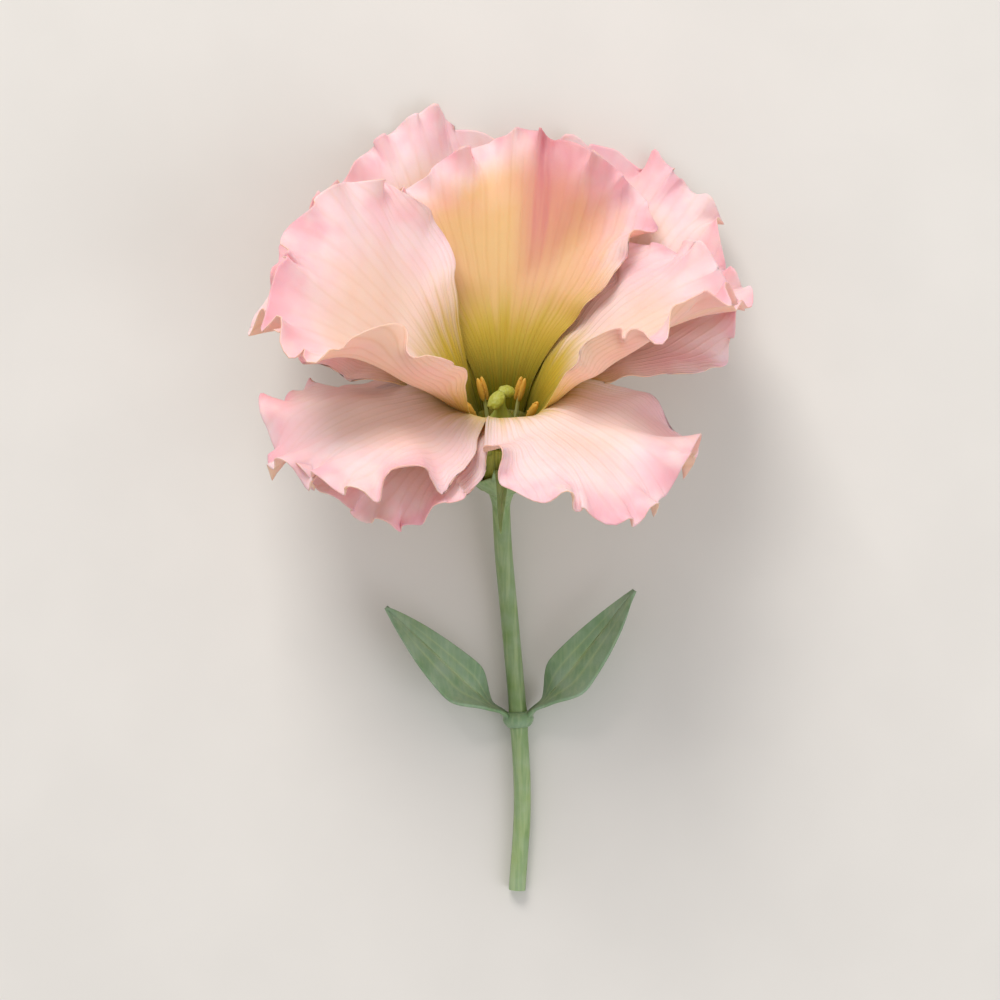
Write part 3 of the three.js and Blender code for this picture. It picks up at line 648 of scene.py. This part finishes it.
def petal_tissue():
    """Colour, roughness and relief of a petal: chartreuse throat, cream heart, pink flush at the margin."""
    if "Petal tissue" in bpy.data.node_groups:
        return bpy.data.node_groups["Petal tissue"]
    tree, given, out = new_group(
        "Petal tissue", ("Throat", "Heart", "Blade", "Pale", "Flush", "Fold shade"),
        {"Flush strength": 0.6, "Vein strength": 0.1, "Stripe strength": 0.5})
    uv = add(tree, "ShaderNodeUVMap", uv_map="UVMap").outputs["UV"]
    parted = add(tree, "ShaderNodeSeparateXYZ", {"Vector": uv})
    across, rows = parted.outputs["X"], parted.outputs["Y"]
    along = attribute(tree, "along")
    edge = attribute(tree, "edge")
    petal = attribute(tree, "petal")
    tan_and_painted_shade = attribute(tree, "tan_and_painted_shade")
    fold = attribute(tree, "fold")
    place = add(tree, "ShaderNodeTexCoord").outputs["Object"]

    # Streaks that run along the petal from its claw
    fanned = add(tree, "ShaderNodeCombineXYZ", {
        "X": times(tree, across, 30.0),
        "Y": times(tree, rows, 1.8),
        "Z": times(tree, petal, 37.0),
    }).outputs["Vector"]
    streak = grain(tree, fanned, 1.0, 3.0)
    # Petals with less tan and painted shade leave the throat's colours sooner
    pallor = times(tree, calculate(tree, "SUBTRACT", 1.0, tan_and_painted_shade), 0.08)
    shifted = plus(tree, plus(tree, along, pallor),
                   times(tree, calculate(tree, "SUBTRACT", streak, 0.5), 0.18))
    body = blend(tree, fade(tree, shifted, 0.20, 0.42), given.outputs["Throat"], given.outputs["Heart"])
    # The blade's tan middle is partly the petal's own colour and partly painted shade, most on the back
    # petal, where it also reaches further towards the margin
    blade = blend(tree, tan_and_painted_shade, given.outputs["Pale"], given.outputs["Blade"])
    body = blend(tree, fade(tree, shifted, 0.38, 0.58), body, blade)
    narrowing = times(tree, calculate(tree, "POWER", tan_and_painted_shade, 2.0), -0.35)
    outer = fade(tree, plus(tree, plus(tree, edge, narrowing), times(tree, streak, 0.25)), 0.15, 0.65)
    body = blend(tree, outer, body, given.outputs["Pale"])

    # Veins, and the green stripes deep in the throat
    wave = add(tree, "ShaderNodeTexWave", {"Vector": fanned, "Scale": 0.32, "Distortion": 2.2,
                                           "Detail": 2.0, "Detail Scale": 1.2},
               wave_type="BANDS", bands_direction="X").outputs["Fac"]
    vein = calculate(tree, "POWER", wave, 5.0)
    vein_share = times(tree, vein, given.outputs["Vein strength"])
    darker = blend(tree, 1.0, body, (0.80, 0.66, 0.40, 1), "MULTIPLY")
    body = blend(tree, vein_share, body, darker)
    deep = fade(tree, along, 0.14, 0.46, 1.0, 0.0)
    stripe = times(tree, times(tree, deep, fade(tree, streak, 0.45, 0.62)),
                   given.outputs["Stripe strength"])
    body = blend(tree, stripe, body, (0.13, 0.16, 0.005, 1))

    # Mottling, the flush of the margin, and painted shade along the long fold
    cloud = grain(tree, place, 85.0, 4.0, 0.55)
    warm = blend(tree, 1.0, body, (0.97, 0.87, 0.79, 1), "MULTIPLY")
    body = blend(tree, fade(tree, cloud, 0.40, 0.70, 0.0, 0.6), body, warm)
    patch = fade(tree, grain(tree, place, 150.0, 2.0), 0.34, 0.64, 0.25, 1.0)
    flush = times(tree, calculate(tree, "POWER", edge, 1.4),
                  times(tree, patch, given.outputs["Flush strength"]))
    body = blend(tree, flush, body, given.outputs["Flush"])
    # Painted shade along the long fold's crease, in dark rose
    fold_shading = times(tree, fold, fade(tree, streak, 0.25, 0.75, 0.5, 0.95))
    body = blend(tree, fold_shading, body, given.outputs["Fold shade"])
    tree.links.new(body, out.inputs["Color"])

    roughness = plus(tree, 0.46, times(tree, cloud, 0.16))
    tree.links.new(roughness, out.inputs["Roughness"])
    cells = grain(tree, place, 2600.0, 1.0)
    crepe = grain(tree, fanned, 2.4, 3.0)
    relief = plus(tree, times(tree, vein, 0.6),
                  plus(tree, times(tree, cells, 0.25), times(tree, crepe, 0.8)))
    tree.links.new(relief, out.inputs["Height"])
    return tree


def green_tissue():
    """Colour, roughness and relief of the green pieces: mottled, with a waxy bloom and pale veins."""
    if "Green tissue" in bpy.data.node_groups:
        return bpy.data.node_groups["Green tissue"]
    tree, given, out = new_group("Green tissue", ("Color",), {"Wax": 0.3, "Vein": 0.0, "Streaks": 0.5})
    place = add(tree, "ShaderNodeTexCoord").outputs["Object"]
    drawn_out = add(tree, "ShaderNodeMapping", {"Vector": place, "Scale": (1.0, 0.08, 1.0)})
    cloud = grain(tree, place, 110.0, 3.0)
    streak = grain(tree, drawn_out.outputs["Vector"], 1500.0, 2.0)
    base = given.outputs["Color"]
    dark = blend(tree, 1.0, base, (0.76, 0.82, 0.68, 1), "MULTIPLY")
    body = blend(tree, fade(tree, cloud, 0.25, 0.8), base, dark)
    light = blend(tree, 0.38, base, (0.62, 0.70, 0.34, 1))
    lit = times(tree, fade(tree, streak, 0.42, 0.66), given.outputs["Streaks"])
    body = blend(tree, lit, body, light)
    body = blend(tree, given.outputs["Vein"], body, (0.46, 0.55, 0.24, 1))
    wax = times(tree, fade(tree, grain(tree, place, 260.0, 4.0), 0.2, 0.85), given.outputs["Wax"])
    body = blend(tree, wax, body, (0.46, 0.56, 0.48, 1))
    tree.links.new(body, out.inputs["Color"])
    tree.links.new(plus(tree, 0.38, times(tree, wax, 0.5)), out.inputs["Roughness"])
    cells = grain(tree, place, 3200.0, 1.0)
    relief = plus(tree, times(tree, streak, 0.6), times(tree, cells, 0.3))
    tree.links.new(relief, out.inputs["Height"])
    return tree


def new_material(name, group, values, bump, subsurface, glow, sheen=0.0, coat=0.0):
    """A Principled material whose colour, roughness and relief come from a tissue group."""
    made = bpy.data.materials.new(name)
    made.use_nodes = True
    tree = made.node_tree
    shader = tree.nodes["Principled BSDF"]
    tissue = tree.nodes.new("ShaderNodeGroup")
    tissue.node_tree = group
    for key, value in values.items():
        if isinstance(value, str):
            tree.links.new(attribute(tree, value), tissue.inputs[key])
        else:
            tissue.inputs[key].default_value = value
    relief = add(tree, "ShaderNodeBump", {"Height": tissue.outputs["Height"], "Distance": bump * MM,
                                          "Strength": 1.0})
    tree.links.new(tissue.outputs["Color"], shader.inputs["Base Color"])
    tree.links.new(tissue.outputs["Roughness"], shader.inputs["Roughness"])
    tree.links.new(relief.outputs["Normal"], shader.inputs["Normal"])
    shader.inputs["Subsurface Weight"].default_value = subsurface
    shader.inputs["Subsurface Radius"].default_value = glow
    shader.inputs["Subsurface Scale"].default_value = 1.2 * MM
    shader.inputs["Sheen Weight"].default_value = sheen
    shader.inputs["Sheen Roughness"].default_value = 0.4
    shader.inputs["Coat Weight"].default_value = coat
    shader.inputs["Specular IOR Level"].default_value = 0.35
    return made


def green(name, colour, bump, subsurface, glow, coat=0.0, **values):
    return new_material(name, green_tissue(), {"Color": colour, **values}, bump, subsurface, glow,
                        coat=coat)


def paint(piece, *materials):
    for material in materials:
        piece.data.materials.append(material)


# Operators, one for each piece

class FLOWER_OT_petals(bpy.types.Operator):
    """Ten frilled petals in two layers, grown from one short tube"""

    bl_idname = "lisianthus.petals"
    bl_label = "Petals"

    def execute(self, context):
        look = context.scene.lisianthus.petals
        thickness = look.thickness / MM
        inner = new_material("petal_face", petal_tissue(), {
            "Throat": look.throat, "Heart": look.heart, "Blade": look.blade, "Pale": look.pale,
            "Flush": look.flush, "Fold shade": look.fold_shade, "Flush strength": 0.85, "Vein strength": 0.12,
            "Stripe strength": 0.75,
        }, 0.07, 0.30, WARM_GLOW, sheen=0.06)
        outer = new_material("petal_back", petal_tissue(), {
            "Throat": (0.36, 0.36, 0.05, 1), "Heart": (0.70, 0.50, 0.12, 1), "Blade": look.outside,
            "Pale": (0.89, 0.60, 0.45, 1), "Flush": look.flush, "Fold shade": look.fold_shade, "Flush strength": 0.5,
            "Vein strength": 0.28, "Stripe strength": 0.6,
        }, 0.07, 0.30, WARM_GLOW, sheen=0.06)
        made = [self.claw_tube(outer, inner)]
        for petal in PETALS:
            made.append(self.one_petal(petal, look, thickness, outer, inner))
        hand_over(join("petals", made), "corolla")
        return {"FINISHED"}

    def one_petal(self, petal, look, thickness, outer, inner):
        """A grid laid on the petal's surface and given its thickness, which thins towards the margin."""
        place = petal_surface(petal, thickness / 2)
        found = []

        def settle(x, y):
            u = (x + 3 * math.sin(x * math.pi / 2)) / 4
            v = 1 - (1 - y) ** ROW_CROWDING
            point, *measures = place(u, v)
            found.append(measures)
            return point

        blade = sheet("petal", look.columns, look.rows, settle)
        store(blade, "along", [share for share, _, _ in found])
        store(blade, "edge", [max(0.0, 1 - margin / FLUSH_REACH) * ease(share, *RUFFLE_RISE)
                              for share, margin, _ in found])
        store(blade, "fold", [fold for _, _, fold in found])
        store(blade, "petal", [petal["seed"] * SEED_STEP % 1] * len(found))
        store(blade, "tan_and_painted_shade", [petal["tan_and_painted_shade"]] * len(found))
        body = blade.vertex_groups.new(name="body")
        for i, (_, margin, _) in enumerate(found):
            body.add([i], ease(margin, 0, THIN_MARGIN), "REPLACE")
        paint(blade, outer, inner)
        apply_modifier(blade, "SOLIDIFY", thickness=thickness * MM, offset=0, material_offset=1,
                       vertex_group="body", thickness_vertex_group=THIN_SHARE)
        blade.vertex_groups.clear()
        return blade

    def claw_tube(self, outer, inner):
        """The short tube that the petals' claws are grown into."""
        middle = TUBE_RADIUS + LAYER_STEP / 2
        end = TUBE_LENGTH + TUBE_FADE
        made = turned("tube", (
            (TUBE_BASE, -TUBE_SINK),
            (TUBE_OUTSIDE, 0),
            (TUBE_OUTSIDE + FLARE * TUBE_LENGTH, TUBE_LENGTH),
            (middle + FLARE * end + TUBE_RIM / 2, end),
            (middle + FLARE * end - TUBE_RIM / 2, end),
            (TUBE_INSIDE + FLARE * TUBE_LENGTH, TUBE_LENGTH),
            (TUBE_INSIDE, TUBE_FLOOR),
        ), sides=48)
        for face in made.data.polygons:
            outward = face.normal.x * face.center.x + face.normal.y * face.center.y
            face.material_index = int(outward < 0 or face.normal.z > 0.5)
        paint(made, outer, inner)
        store(made, "along", [max(0.0, corner.co.z / MM / TUBE_SCALE) for corner in made.data.vertices])
        for key, value in (("edge", 0.0), ("fold", 0.0), ("petal", 0.5), ("tan_and_painted_shade", 0.5)):
            store(made, key, [value] * len(made.data.vertices))
        place_on_bloom(made)
        return made


class FLOWER_OT_pistil(bpy.types.Operator):
    """The furrowed ovary with its style and two-lobed stigma"""

    bl_idname = "lisianthus.pistil"
    bl_label = "Pistil"

    def execute(self, context):
        look = context.scene.lisianthus.greens
        flesh = green("ovary", look.ovary, 0.05, 0.25, (0.6, 1.0, 0.3), coat=0.2, Wax=0.12, Vein="furrow")
        lobe_skin = green("stigma", look.stigma, 0.15, 0.3, (0.9, 1.0, 0.3), Wax=0.1)
        body = turned("ovary", (
            (PISTIL_FOOT, FOOT), (PISTIL_FOOT, FOOT + PISTIL_FOOT_HEIGHT),
            *((OVARY_RADIUS * share, height) for share, height in OVARY_COURSE),
            *((STYLE_RADIUS, height) for height in (*STYLE_HEIGHTS, PISTIL_HEIGHT)),
        ), sides=24)
        subdivide(body, 2)

        def furrow(point, width):
            share = abs(point.y) / max(1e-6, math.hypot(point.x, point.y))
            return math.exp(-(share / width) ** 2) * ease(point.z, 3, 5.5) * ease(point.z, 11.6, 9.4)

        def furrowed(point):
            dent = 1 - FURROW_DEPTH * furrow(point, 0.22)
            return Vector((point.x * dent, point.y * dent, point.z))

        store(body, "furrow", [furrow(corner.co / MM, 0.12) for corner in body.data.vertices])
        shape(body, furrowed)
        paint(body, flesh)
        made = [body]
        top = Vector((0, 0, PISTIL_HEIGHT))
        turn = Matrix.Rotation(LOBE_TURN, 4, "Z")
        for side in (-1, 1):
            offset = turn @ Vector((side * STIGMA_LOBE.x * LOBE_OFFSET, 0, PISTIL_HEIGHT))
            lobe = ball("lobe", STIGMA_LOBE * 0.96, turn @ Matrix.Rotation(LOBE_TILT * side, 4, "Y"),
                        offset, rings=24)
            shape(lobe, lambda point: point + 0.16 * noise.noise(point * 3.1) * (point - top).normalized())
            paint(lobe, lobe_skin)
            made.append(lobe)
        whole = join("pistil_fine", made)
        place_on_bloom(whole)
        hand_over(whole, "pistil")
        return {"FINISHED"}


class FLOWER_OT_stamens(bpy.types.Operator):
    """Five filaments with split golden anthers, dusted with pollen"""

    bl_idname = "lisianthus.stamens"
    bl_label = "Stamens"

    def execute(self, context):
        look = context.scene.lisianthus.greens
        thread = green("filament", (0.66, 0.66, 0.30, 1), 0.03, 0.3, (0.9, 1.0, 0.4), Wax=0.1)
        gold = green("anther", look.anther, 0.12, 0.1, WARM_GLOW, Wax=0.0, Streaks=0.2)
        draw = random.Random(17)
        ring = turned("collar", (
            (COLLAR_INSIDE, FOOT), (COLLAR_OUTSIDE, FOOT), (COLLAR_OUTSIDE, FOOT + COLLAR_HEIGHT),
            (COLLAR_INSIDE, FOOT + COLLAR_HEIGHT), (COLLAR_INSIDE, FOOT),
        ), sides=40, ring=True)
        paint(ring, thread)
        made = [ring]
        for azimuth in PARTS_OF_FIVE:
            outward = Vector((math.cos(azimuth), math.sin(azimuth), 0))
            course = [outward * radius + Vector((0, 0, height)) for radius, height in FILAMENT_COURSE]
            shares = [i / 20 for i in range(21)]
            filament = tube("filament", [spline_point(course, share) for share in shares],
                            [mix(*FILAMENT_RADII, share) for share in shares], sides=12)
            paint(filament, thread)
            made.append(filament)
            made.append(self.anther(outward, azimuth, gold, draw))
        whole = join("stamens_fine", made)
        place_on_bloom(whole)
        hand_over(whole, "stamens")
        return {"FINISHED"}

    def anther(self, outward, azimuth, gold, draw):
        """Two pollen sacs side by side, with a furrow between them and grains on their faces."""
        turn = Matrix.Rotation(azimuth, 4, "Z") @ Matrix.Rotation(ANTHER_TILT, 4, "Y")
        centre = outward * ANTHER_PLACE[0] + Vector((0, 0, ANTHER_PLACE[1]))
        sacs = []
        for side in (-1, 1):
            sac = ball("sac", Vector((0.56, 0.42, 1.9)), turn,
                       centre + turn.to_3x3() @ Vector((0.05, side * 0.34, 0)), rings=14)
            paint(sac, gold)
            sacs.append(sac)
        for _ in range(POLLEN_GRAINS):
            height = draw.uniform(-0.92, 0.92)
            around = draw.uniform(0, math.tau)
            wide = math.sqrt(1 - height * height)
            spot = turn.to_3x3() @ Vector((0.58 * wide * math.cos(around), 0.72 * wide * math.sin(around),
                                           1.85 * height))
            deselect()
            bpy.ops.mesh.primitive_ico_sphere_add(subdivisions=1, radius=draw.uniform(0.07, 0.12) * MM,
                                                  location=(centre + spot) * MM)
            bpy.ops.object.transform_apply(location=True)
            grain_of_pollen = bpy.context.object
            paint(grain_of_pollen, gold)
            sacs.append(grain_of_pollen)
        return join("anther", sacs)


class FLOWER_OT_calyx(bpy.types.Operator):
    """The ribbed cup and its five narrow, keeled sepals"""

    bl_idname = "lisianthus.calyx"
    bl_label = "Calyx"

    def execute(self, context):
        look = context.scene.lisianthus.greens
        skin = green("sepal", look.calyx, 0.06, 0.12, LEAF_GLOW, Wax=0.35, Vein="keel")
        floor_top = -TUBE_SINK - CLEARANCE
        floor_inside = TUBE_BASE + CLEARANCE / 2
        cup = turned("cup", (
            (CUP_BASE, floor_top - CUP_FLOOR), (floor_inside + CUP_WALL, floor_top - CUP_FLOOR / 2),
            (mix(floor_inside, CUP_INSIDE, 0.6) + CUP_WALL, floor_top * 0.45), (CUP_INSIDE + CUP_WALL, 0),
            (CUP_INSIDE + CUP_WALL + FLARE * CUP_HEIGHT * 0.5, CUP_HEIGHT * 0.5),
            (CUP_INSIDE + CUP_WALL * 0.9 + FLARE * CUP_HEIGHT, CUP_HEIGHT),
            (CUP_INSIDE + 0.05 + FLARE * CUP_HEIGHT, CUP_HEIGHT), (CUP_INSIDE, 0),
            (floor_inside, floor_top),
        ), sides=60)
        subdivide(cup, 1)

        def nearness(point):
            """1 in line with a sepal, and less between two of them."""
            azimuth = math.atan2(point.y, point.x)
            return max(math.cos(azimuth - sepal) for sepal in PARTS_OF_FIVE)

        def ribbed(point):
            radius = math.hypot(point.x, point.y)
            rib = nearness(point)
            wall = CUP_INSIDE + min(0, point.z) * 0.7
            ridge = 0.35 * ease(rib, 0.93, 1) * ease(radius, wall + 0.1, wall + 0.7) * ease(point.z, 3.4, 1)
            dip = -1.2 * ease(rib, 0.99, 0.82) * ease(point.z, 0.6, CUP_HEIGHT)
            grown = (radius + ridge) / max(radius, 1e-6)
            return Vector((point.x * grown, point.y * grown, point.z + dip))

        store(cup, "keel", [0.6 * ease(nearness(corner.co), 0.97, 1) for corner in cup.data.vertices])
        shape(cup, ribbed)
        paint(cup, skin)
        made = [cup]
        for azimuth in PARTS_OF_FIVE:
            made.append(self.sepal(azimuth, skin))
        whole = join("calyx_fine", made)
        place_on_bloom(whole)
        hand_over(whole, "calyx")
        return {"FINISHED"}

    def sepal(self, azimuth, skin):
        """An awl with a keel, rooted in the cup's rim and bent away from the petals above it."""
        lean = SEPAL_LEAN - SEPAL_LEAN_CHANGE * math.sin(azimuth)
        root_radius = CUP_INSIDE + CUP_WALL / 2 + FLARE * SEPAL_FOOT
        keels = []

        def place(u, v):
            steps = 20
            radius, height = root_radius, SEPAL_FOOT
            for i in range(steps):
                run = v * (i + 0.5) / steps * SEPAL_LENGTH
                angle = math.radians(mix(TUBE_LEAN, lean, ease(run, *SEPAL_BEND)))
                radius += math.sin(angle) * v * SEPAL_LENGTH / steps
                height += math.cos(angle) * v * SEPAL_LENGTH / steps
            angle = math.radians(mix(TUBE_LEAN, lean, ease(v * SEPAL_LENGTH, *SEPAL_BEND)))
            half_width = SEPAL_WIDTH / 2 * (1 - 0.9 * v ** 1.3)
            ridge = math.exp(-(u / 0.3) ** 2)
            keel = SEPAL_KEEL * mix(1 - abs(u), ridge, 0.6) * (1 - v)
            keels.append(0.7 * ridge * (1 - 0.6 * v))
            wrap = u * half_width / root_radius * (1 - ease(v, 0, 0.3))
            side = u * half_width + 0.12 * math.sin(7 * v + azimuth)
            out = radius + math.cos(angle) * keel - (1 - math.cos(wrap)) * root_radius
            return about_axis(azimuth, out, side, height - math.sin(angle) * keel)

        made = sheet("sepal", 16, 44, place)
        store(made, "keel", keels)
        paint(made, skin)
        apply_modifier(made, "SOLIDIFY", thickness=0.55 * MM, offset=0)
        return made


class FLOWER_OT_stalk(bpy.types.Operator):
    """The slender stalk with its swollen top and its cut end"""

    bl_idname = "lisianthus.stalk"
    bl_label = "Stalk"

    def execute(self, context):
        look = context.scene.lisianthus.greens
        skin = green("stalk_skin", look.stalk, 0.08, 0.1, LEAF_GLOW, Wax=0.35, Streaks=0.6)
        pith = green("cut_end", (0.50, 0.56, 0.28, 1), 0.1, 0.2, (0.7, 1.0, 0.4), Wax=0.05)
        course = stalk_points()
        steps = 160
        points = [spline_point(course, i / steps) + ROOT for i in range(steps + 1)]
        points[0] = TIP @ Vector((0, 0, STALK_TOP + CLEARANCE)) + ROOT
        radii = []
        for i, point in enumerate(points):
            run = (point - points[0]).length
            swelling = (RECEPTACLE_RADIUS - STALK_RADIUS) * ease(run, RECEPTACLE_LENGTH, 0)
            node = 0.12 * math.exp(-((i / steps - BRACT_POINT / (len(course) - 1)) / 0.02) ** 2)
            radii.append(STALK_RADIUS * 0.97 + swelling + node)
        made = tube("stalk_fine", points, radii, sides=28)
        self.raise_ribs(made, points)
        for face in made.data.polygons:
            face.material_index = int(len(face.vertices) > 4 and face.center.y < 0)
        paint(made, skin, pith)
        bpy.context.view_layer.objects.active = made
        made.select_set(True)
        bpy.ops.object.shade_smooth_by_angle(angle=math.radians(50))
        keep_above_floor(made)
        hand_over(made, "stalk")
        return {"FINISHED"}

    def raise_ribs(self, made, points):
        """Shallow ribs down the stalk, turning slowly round it."""
        for corner in made.data.vertices:
            spot = corner.co / MM
            middle = min(points, key=lambda p: (p - spot).length_squared)
            off = spot - middle
            around = math.atan2(off.z, off.x)
            if off.length > 0.5:
                corner.co = (middle + off * (1 + 0.028 * math.cos(6 * around + middle.y * 0.05))) * MM


class FLOWER_OT_bracts(bpy.types.Operator):
    """A pair of narrow leaves that clasp the stalk with one shared sheath"""

    bl_idname = "lisianthus.bracts"
    bl_label = "Bracts"

    def execute(self, context):
        look = context.scene.lisianthus.greens
        skin = green("leaf", look.bract, 0.07, 0.1, (0.5, 1.0, 0.35), Wax=0.45, Vein="vein", Streaks=0.3)
        half = SHEATH_LENGTH / 2
        sheath = turned("sheath", (
            (SHEATH_GRIP, -half), (SHEATH_GRIP + 0.22, -half * 0.96), (SHEATH_GRIP + 0.55, -half * 0.7),
            (SHEATH_OUTSIDE - 0.1, -half * 0.3), (SHEATH_OUTSIDE, 0), (SHEATH_OUTSIDE - 0.08, half * 0.4),
            (SHEATH_GRIP + 0.55, half * 0.8), (SHEATH_GRIP + 0.22, half), (SHEATH_GRIP, half),
            (SHEATH_GRIP, -half),
        ), sides=48, ring=True)
        store(sheath, "vein", [0.0] * len(sheath.data.vertices))
        paint(sheath, skin)
        made = [sheath] + [self.leaf(side, skin) for side in (-1, 1)]
        whole = join("bracts_fine", made)
        whole.data.transform(bract_frame())
        keep_above_floor(whole)
        hand_over(whole, "bracts")
        return {"FINISHED"}

    def leaf(self, side, skin):
        """Its foot wraps the stalk, and its blade spreads, rolls over towards the surface and arches."""
        root_radius = SHEATH_OUTSIDE - SHEATH_WALL / 2
        veins = []

        def place(u, v):
            run = v * BRACT_LENGTH
            half_width = BRACT_WIDTH / 2 * mix(BRACT_FOOT, 1, ease(v, 0, 0.35)) * (1 - 0.97 * v ** 2.6)
            lateral = u * half_width
            roll = math.radians(mix(90, BRACT_ROLL, ease(v, 0.05, 0.4)))
            middle = math.exp(-(u / 0.09) ** 2)
            nerves = math.exp(-((abs(u) - 0.45) / 0.06) ** 2) * ease(v, 1.0, 0.6)
            veins.append(0.75 * middle + 0.4 * nerves)
            groove = -0.22 * middle * ease(v, 0.05, 0.2) - 0.07 * nerves
            arch = (BRACT_RISE * math.sin(v * math.pi * 0.62)
                    + BRACT_FOLD * abs(lateral) * ease(v, 0, 0.3) + groove)
            opened = Vector((
                side * (root_radius + run * math.sin(BRACT_SPREAD)
                        + lateral * math.cos(roll) * math.cos(BRACT_SPREAD)),
                arch + lateral * math.sin(roll) + 0.25 * math.sin(9 * v + 2 * u + side) * ease(v, 0.3, 0.8),
                run * math.cos(BRACT_SPREAD) - lateral * math.cos(roll) * math.sin(BRACT_SPREAD),
            ))
            wrap = lateral / root_radius
            wrapped = Vector((side * root_radius * math.cos(wrap), root_radius * math.sin(wrap),
                              run * math.cos(BRACT_SPREAD)))
            return wrapped.lerp(opened, ease(v, 0, 0.14))

        made = sheet("leaf", 40, 72, place)
        store(made, "vein", veins)
        paint(made, skin)
        apply_modifier(made, "SOLIDIFY", thickness=0.5 * MM, offset=0)
        return made


class FLOWER_OT_stage(bpy.types.Operator):
    """The pale floor, the soft lights and the camera that looks down on the flower"""

    bl_idname = "lisianthus.stage"
    bl_label = "Stage"

    def execute(self, context):
        look = context.scene.lisianthus.stage
        deselect()
        bpy.ops.mesh.primitive_plane_add(size=4)
        floor = context.object
        floor.name = "floor"
        lacquer = bpy.data.materials.new("floor_paint")
        lacquer.use_nodes = True
        tree = lacquer.node_tree
        shader = tree.nodes["Principled BSDF"]
        place = add(tree, "ShaderNodeTexCoord").outputs["Object"]
        fleck = fade(tree, grain(tree, place, 40.0, 3.0), 0.3, 0.7)
        darker = tuple(0.97 * value for value in look.floor[:3]) + (1,)
        tree.links.new(blend(tree, fleck, look.floor, darker), shader.inputs["Base Color"])
        shader.inputs["Roughness"].default_value = 0.8
        paint(floor, lacquer)

        world = bpy.data.worlds.new("soft_sky")
        context.scene.world = world
        world.use_nodes = True
        sky = world.node_tree.nodes["Background"]
        sky.inputs["Color"].default_value = (1.0, 0.98, 0.95, 1)
        sky.inputs["Strength"].default_value = look.sky
        self.lamp("key", (-0.25, 0.88, 0.74), 0.55, look.key_energy, (1.0, 0.96, 0.90))
        self.lamp("fill", (0.76, -0.50, 0.76), 0.85, look.fill_energy, (0.94, 0.97, 1.0))

        lens = bpy.data.cameras.new("camera")
        lens.lens = look.lens
        lens.clip_start = 0.01
        camera = bpy.data.objects.new("camera", lens)
        camera.location = (0, 0, look.camera_height)
        context.scene.collection.objects.link(camera)
        context.scene.camera = camera
        context.scene.view_settings.view_transform = "Standard"
        return {"FINISHED"}

    def lamp(self, name, spot, size, energy, tint):
        light = bpy.data.lights.new(name, "AREA")
        light.size = size
        light.energy = energy
        light.color = tint
        made = bpy.data.objects.new(name, light)
        made.location = spot
        aim = Vector((0, 0.015, 0.02)) - Vector(spot)
        made.rotation_euler = aim.to_track_quat("-Z", "Y").to_euler()
        bpy.context.scene.collection.objects.link(made)


class FLOWER_PT_panel(bpy.types.Panel):
    """Buttons for the pieces of the flower"""

    bl_idname = "FLOWER_PT_panel"
    bl_label = "Lisianthus bloom"
    bl_space_type = "VIEW_3D"
    bl_region_type = "UI"
    bl_category = "Lisianthus"

    def draw(self, context):
        look = context.scene.lisianthus
        for settings in (look.petals, look.greens, look.stage):
            box = self.layout.box()
            for key in settings.__annotations__:
                box.prop(settings, key)
        for operator in OPERATORS:
            self.layout.operator(operator.bl_idname)


OPERATORS = (FLOWER_OT_petals, FLOWER_OT_pistil, FLOWER_OT_stamens, FLOWER_OT_calyx, FLOWER_OT_stalk,
             FLOWER_OT_bracts, FLOWER_OT_stage)
CLASSES = (PetalLook, GreenLook, StageLook, FlowerLook, *OPERATORS, FLOWER_PT_panel)


def register():
    for each in CLASSES:
        bpy.utils.register_class(each)
    bpy.types.Scene.lisianthus = PointerProperty(type=FlowerLook)


def unregister():
    del bpy.types.Scene.lisianthus
    for each in reversed(CLASSES):
        bpy.utils.unregister_class(each)


def main():
    register()
    bpy.ops.lisianthus.petals()
    bpy.ops.lisianthus.pistil()
    bpy.ops.lisianthus.stamens()
    bpy.ops.lisianthus.calyx()
    bpy.ops.lisianthus.stalk()
    bpy.ops.lisianthus.bracts()
    bpy.ops.lisianthus.stage()


if __name__ == "__main__":
    main()
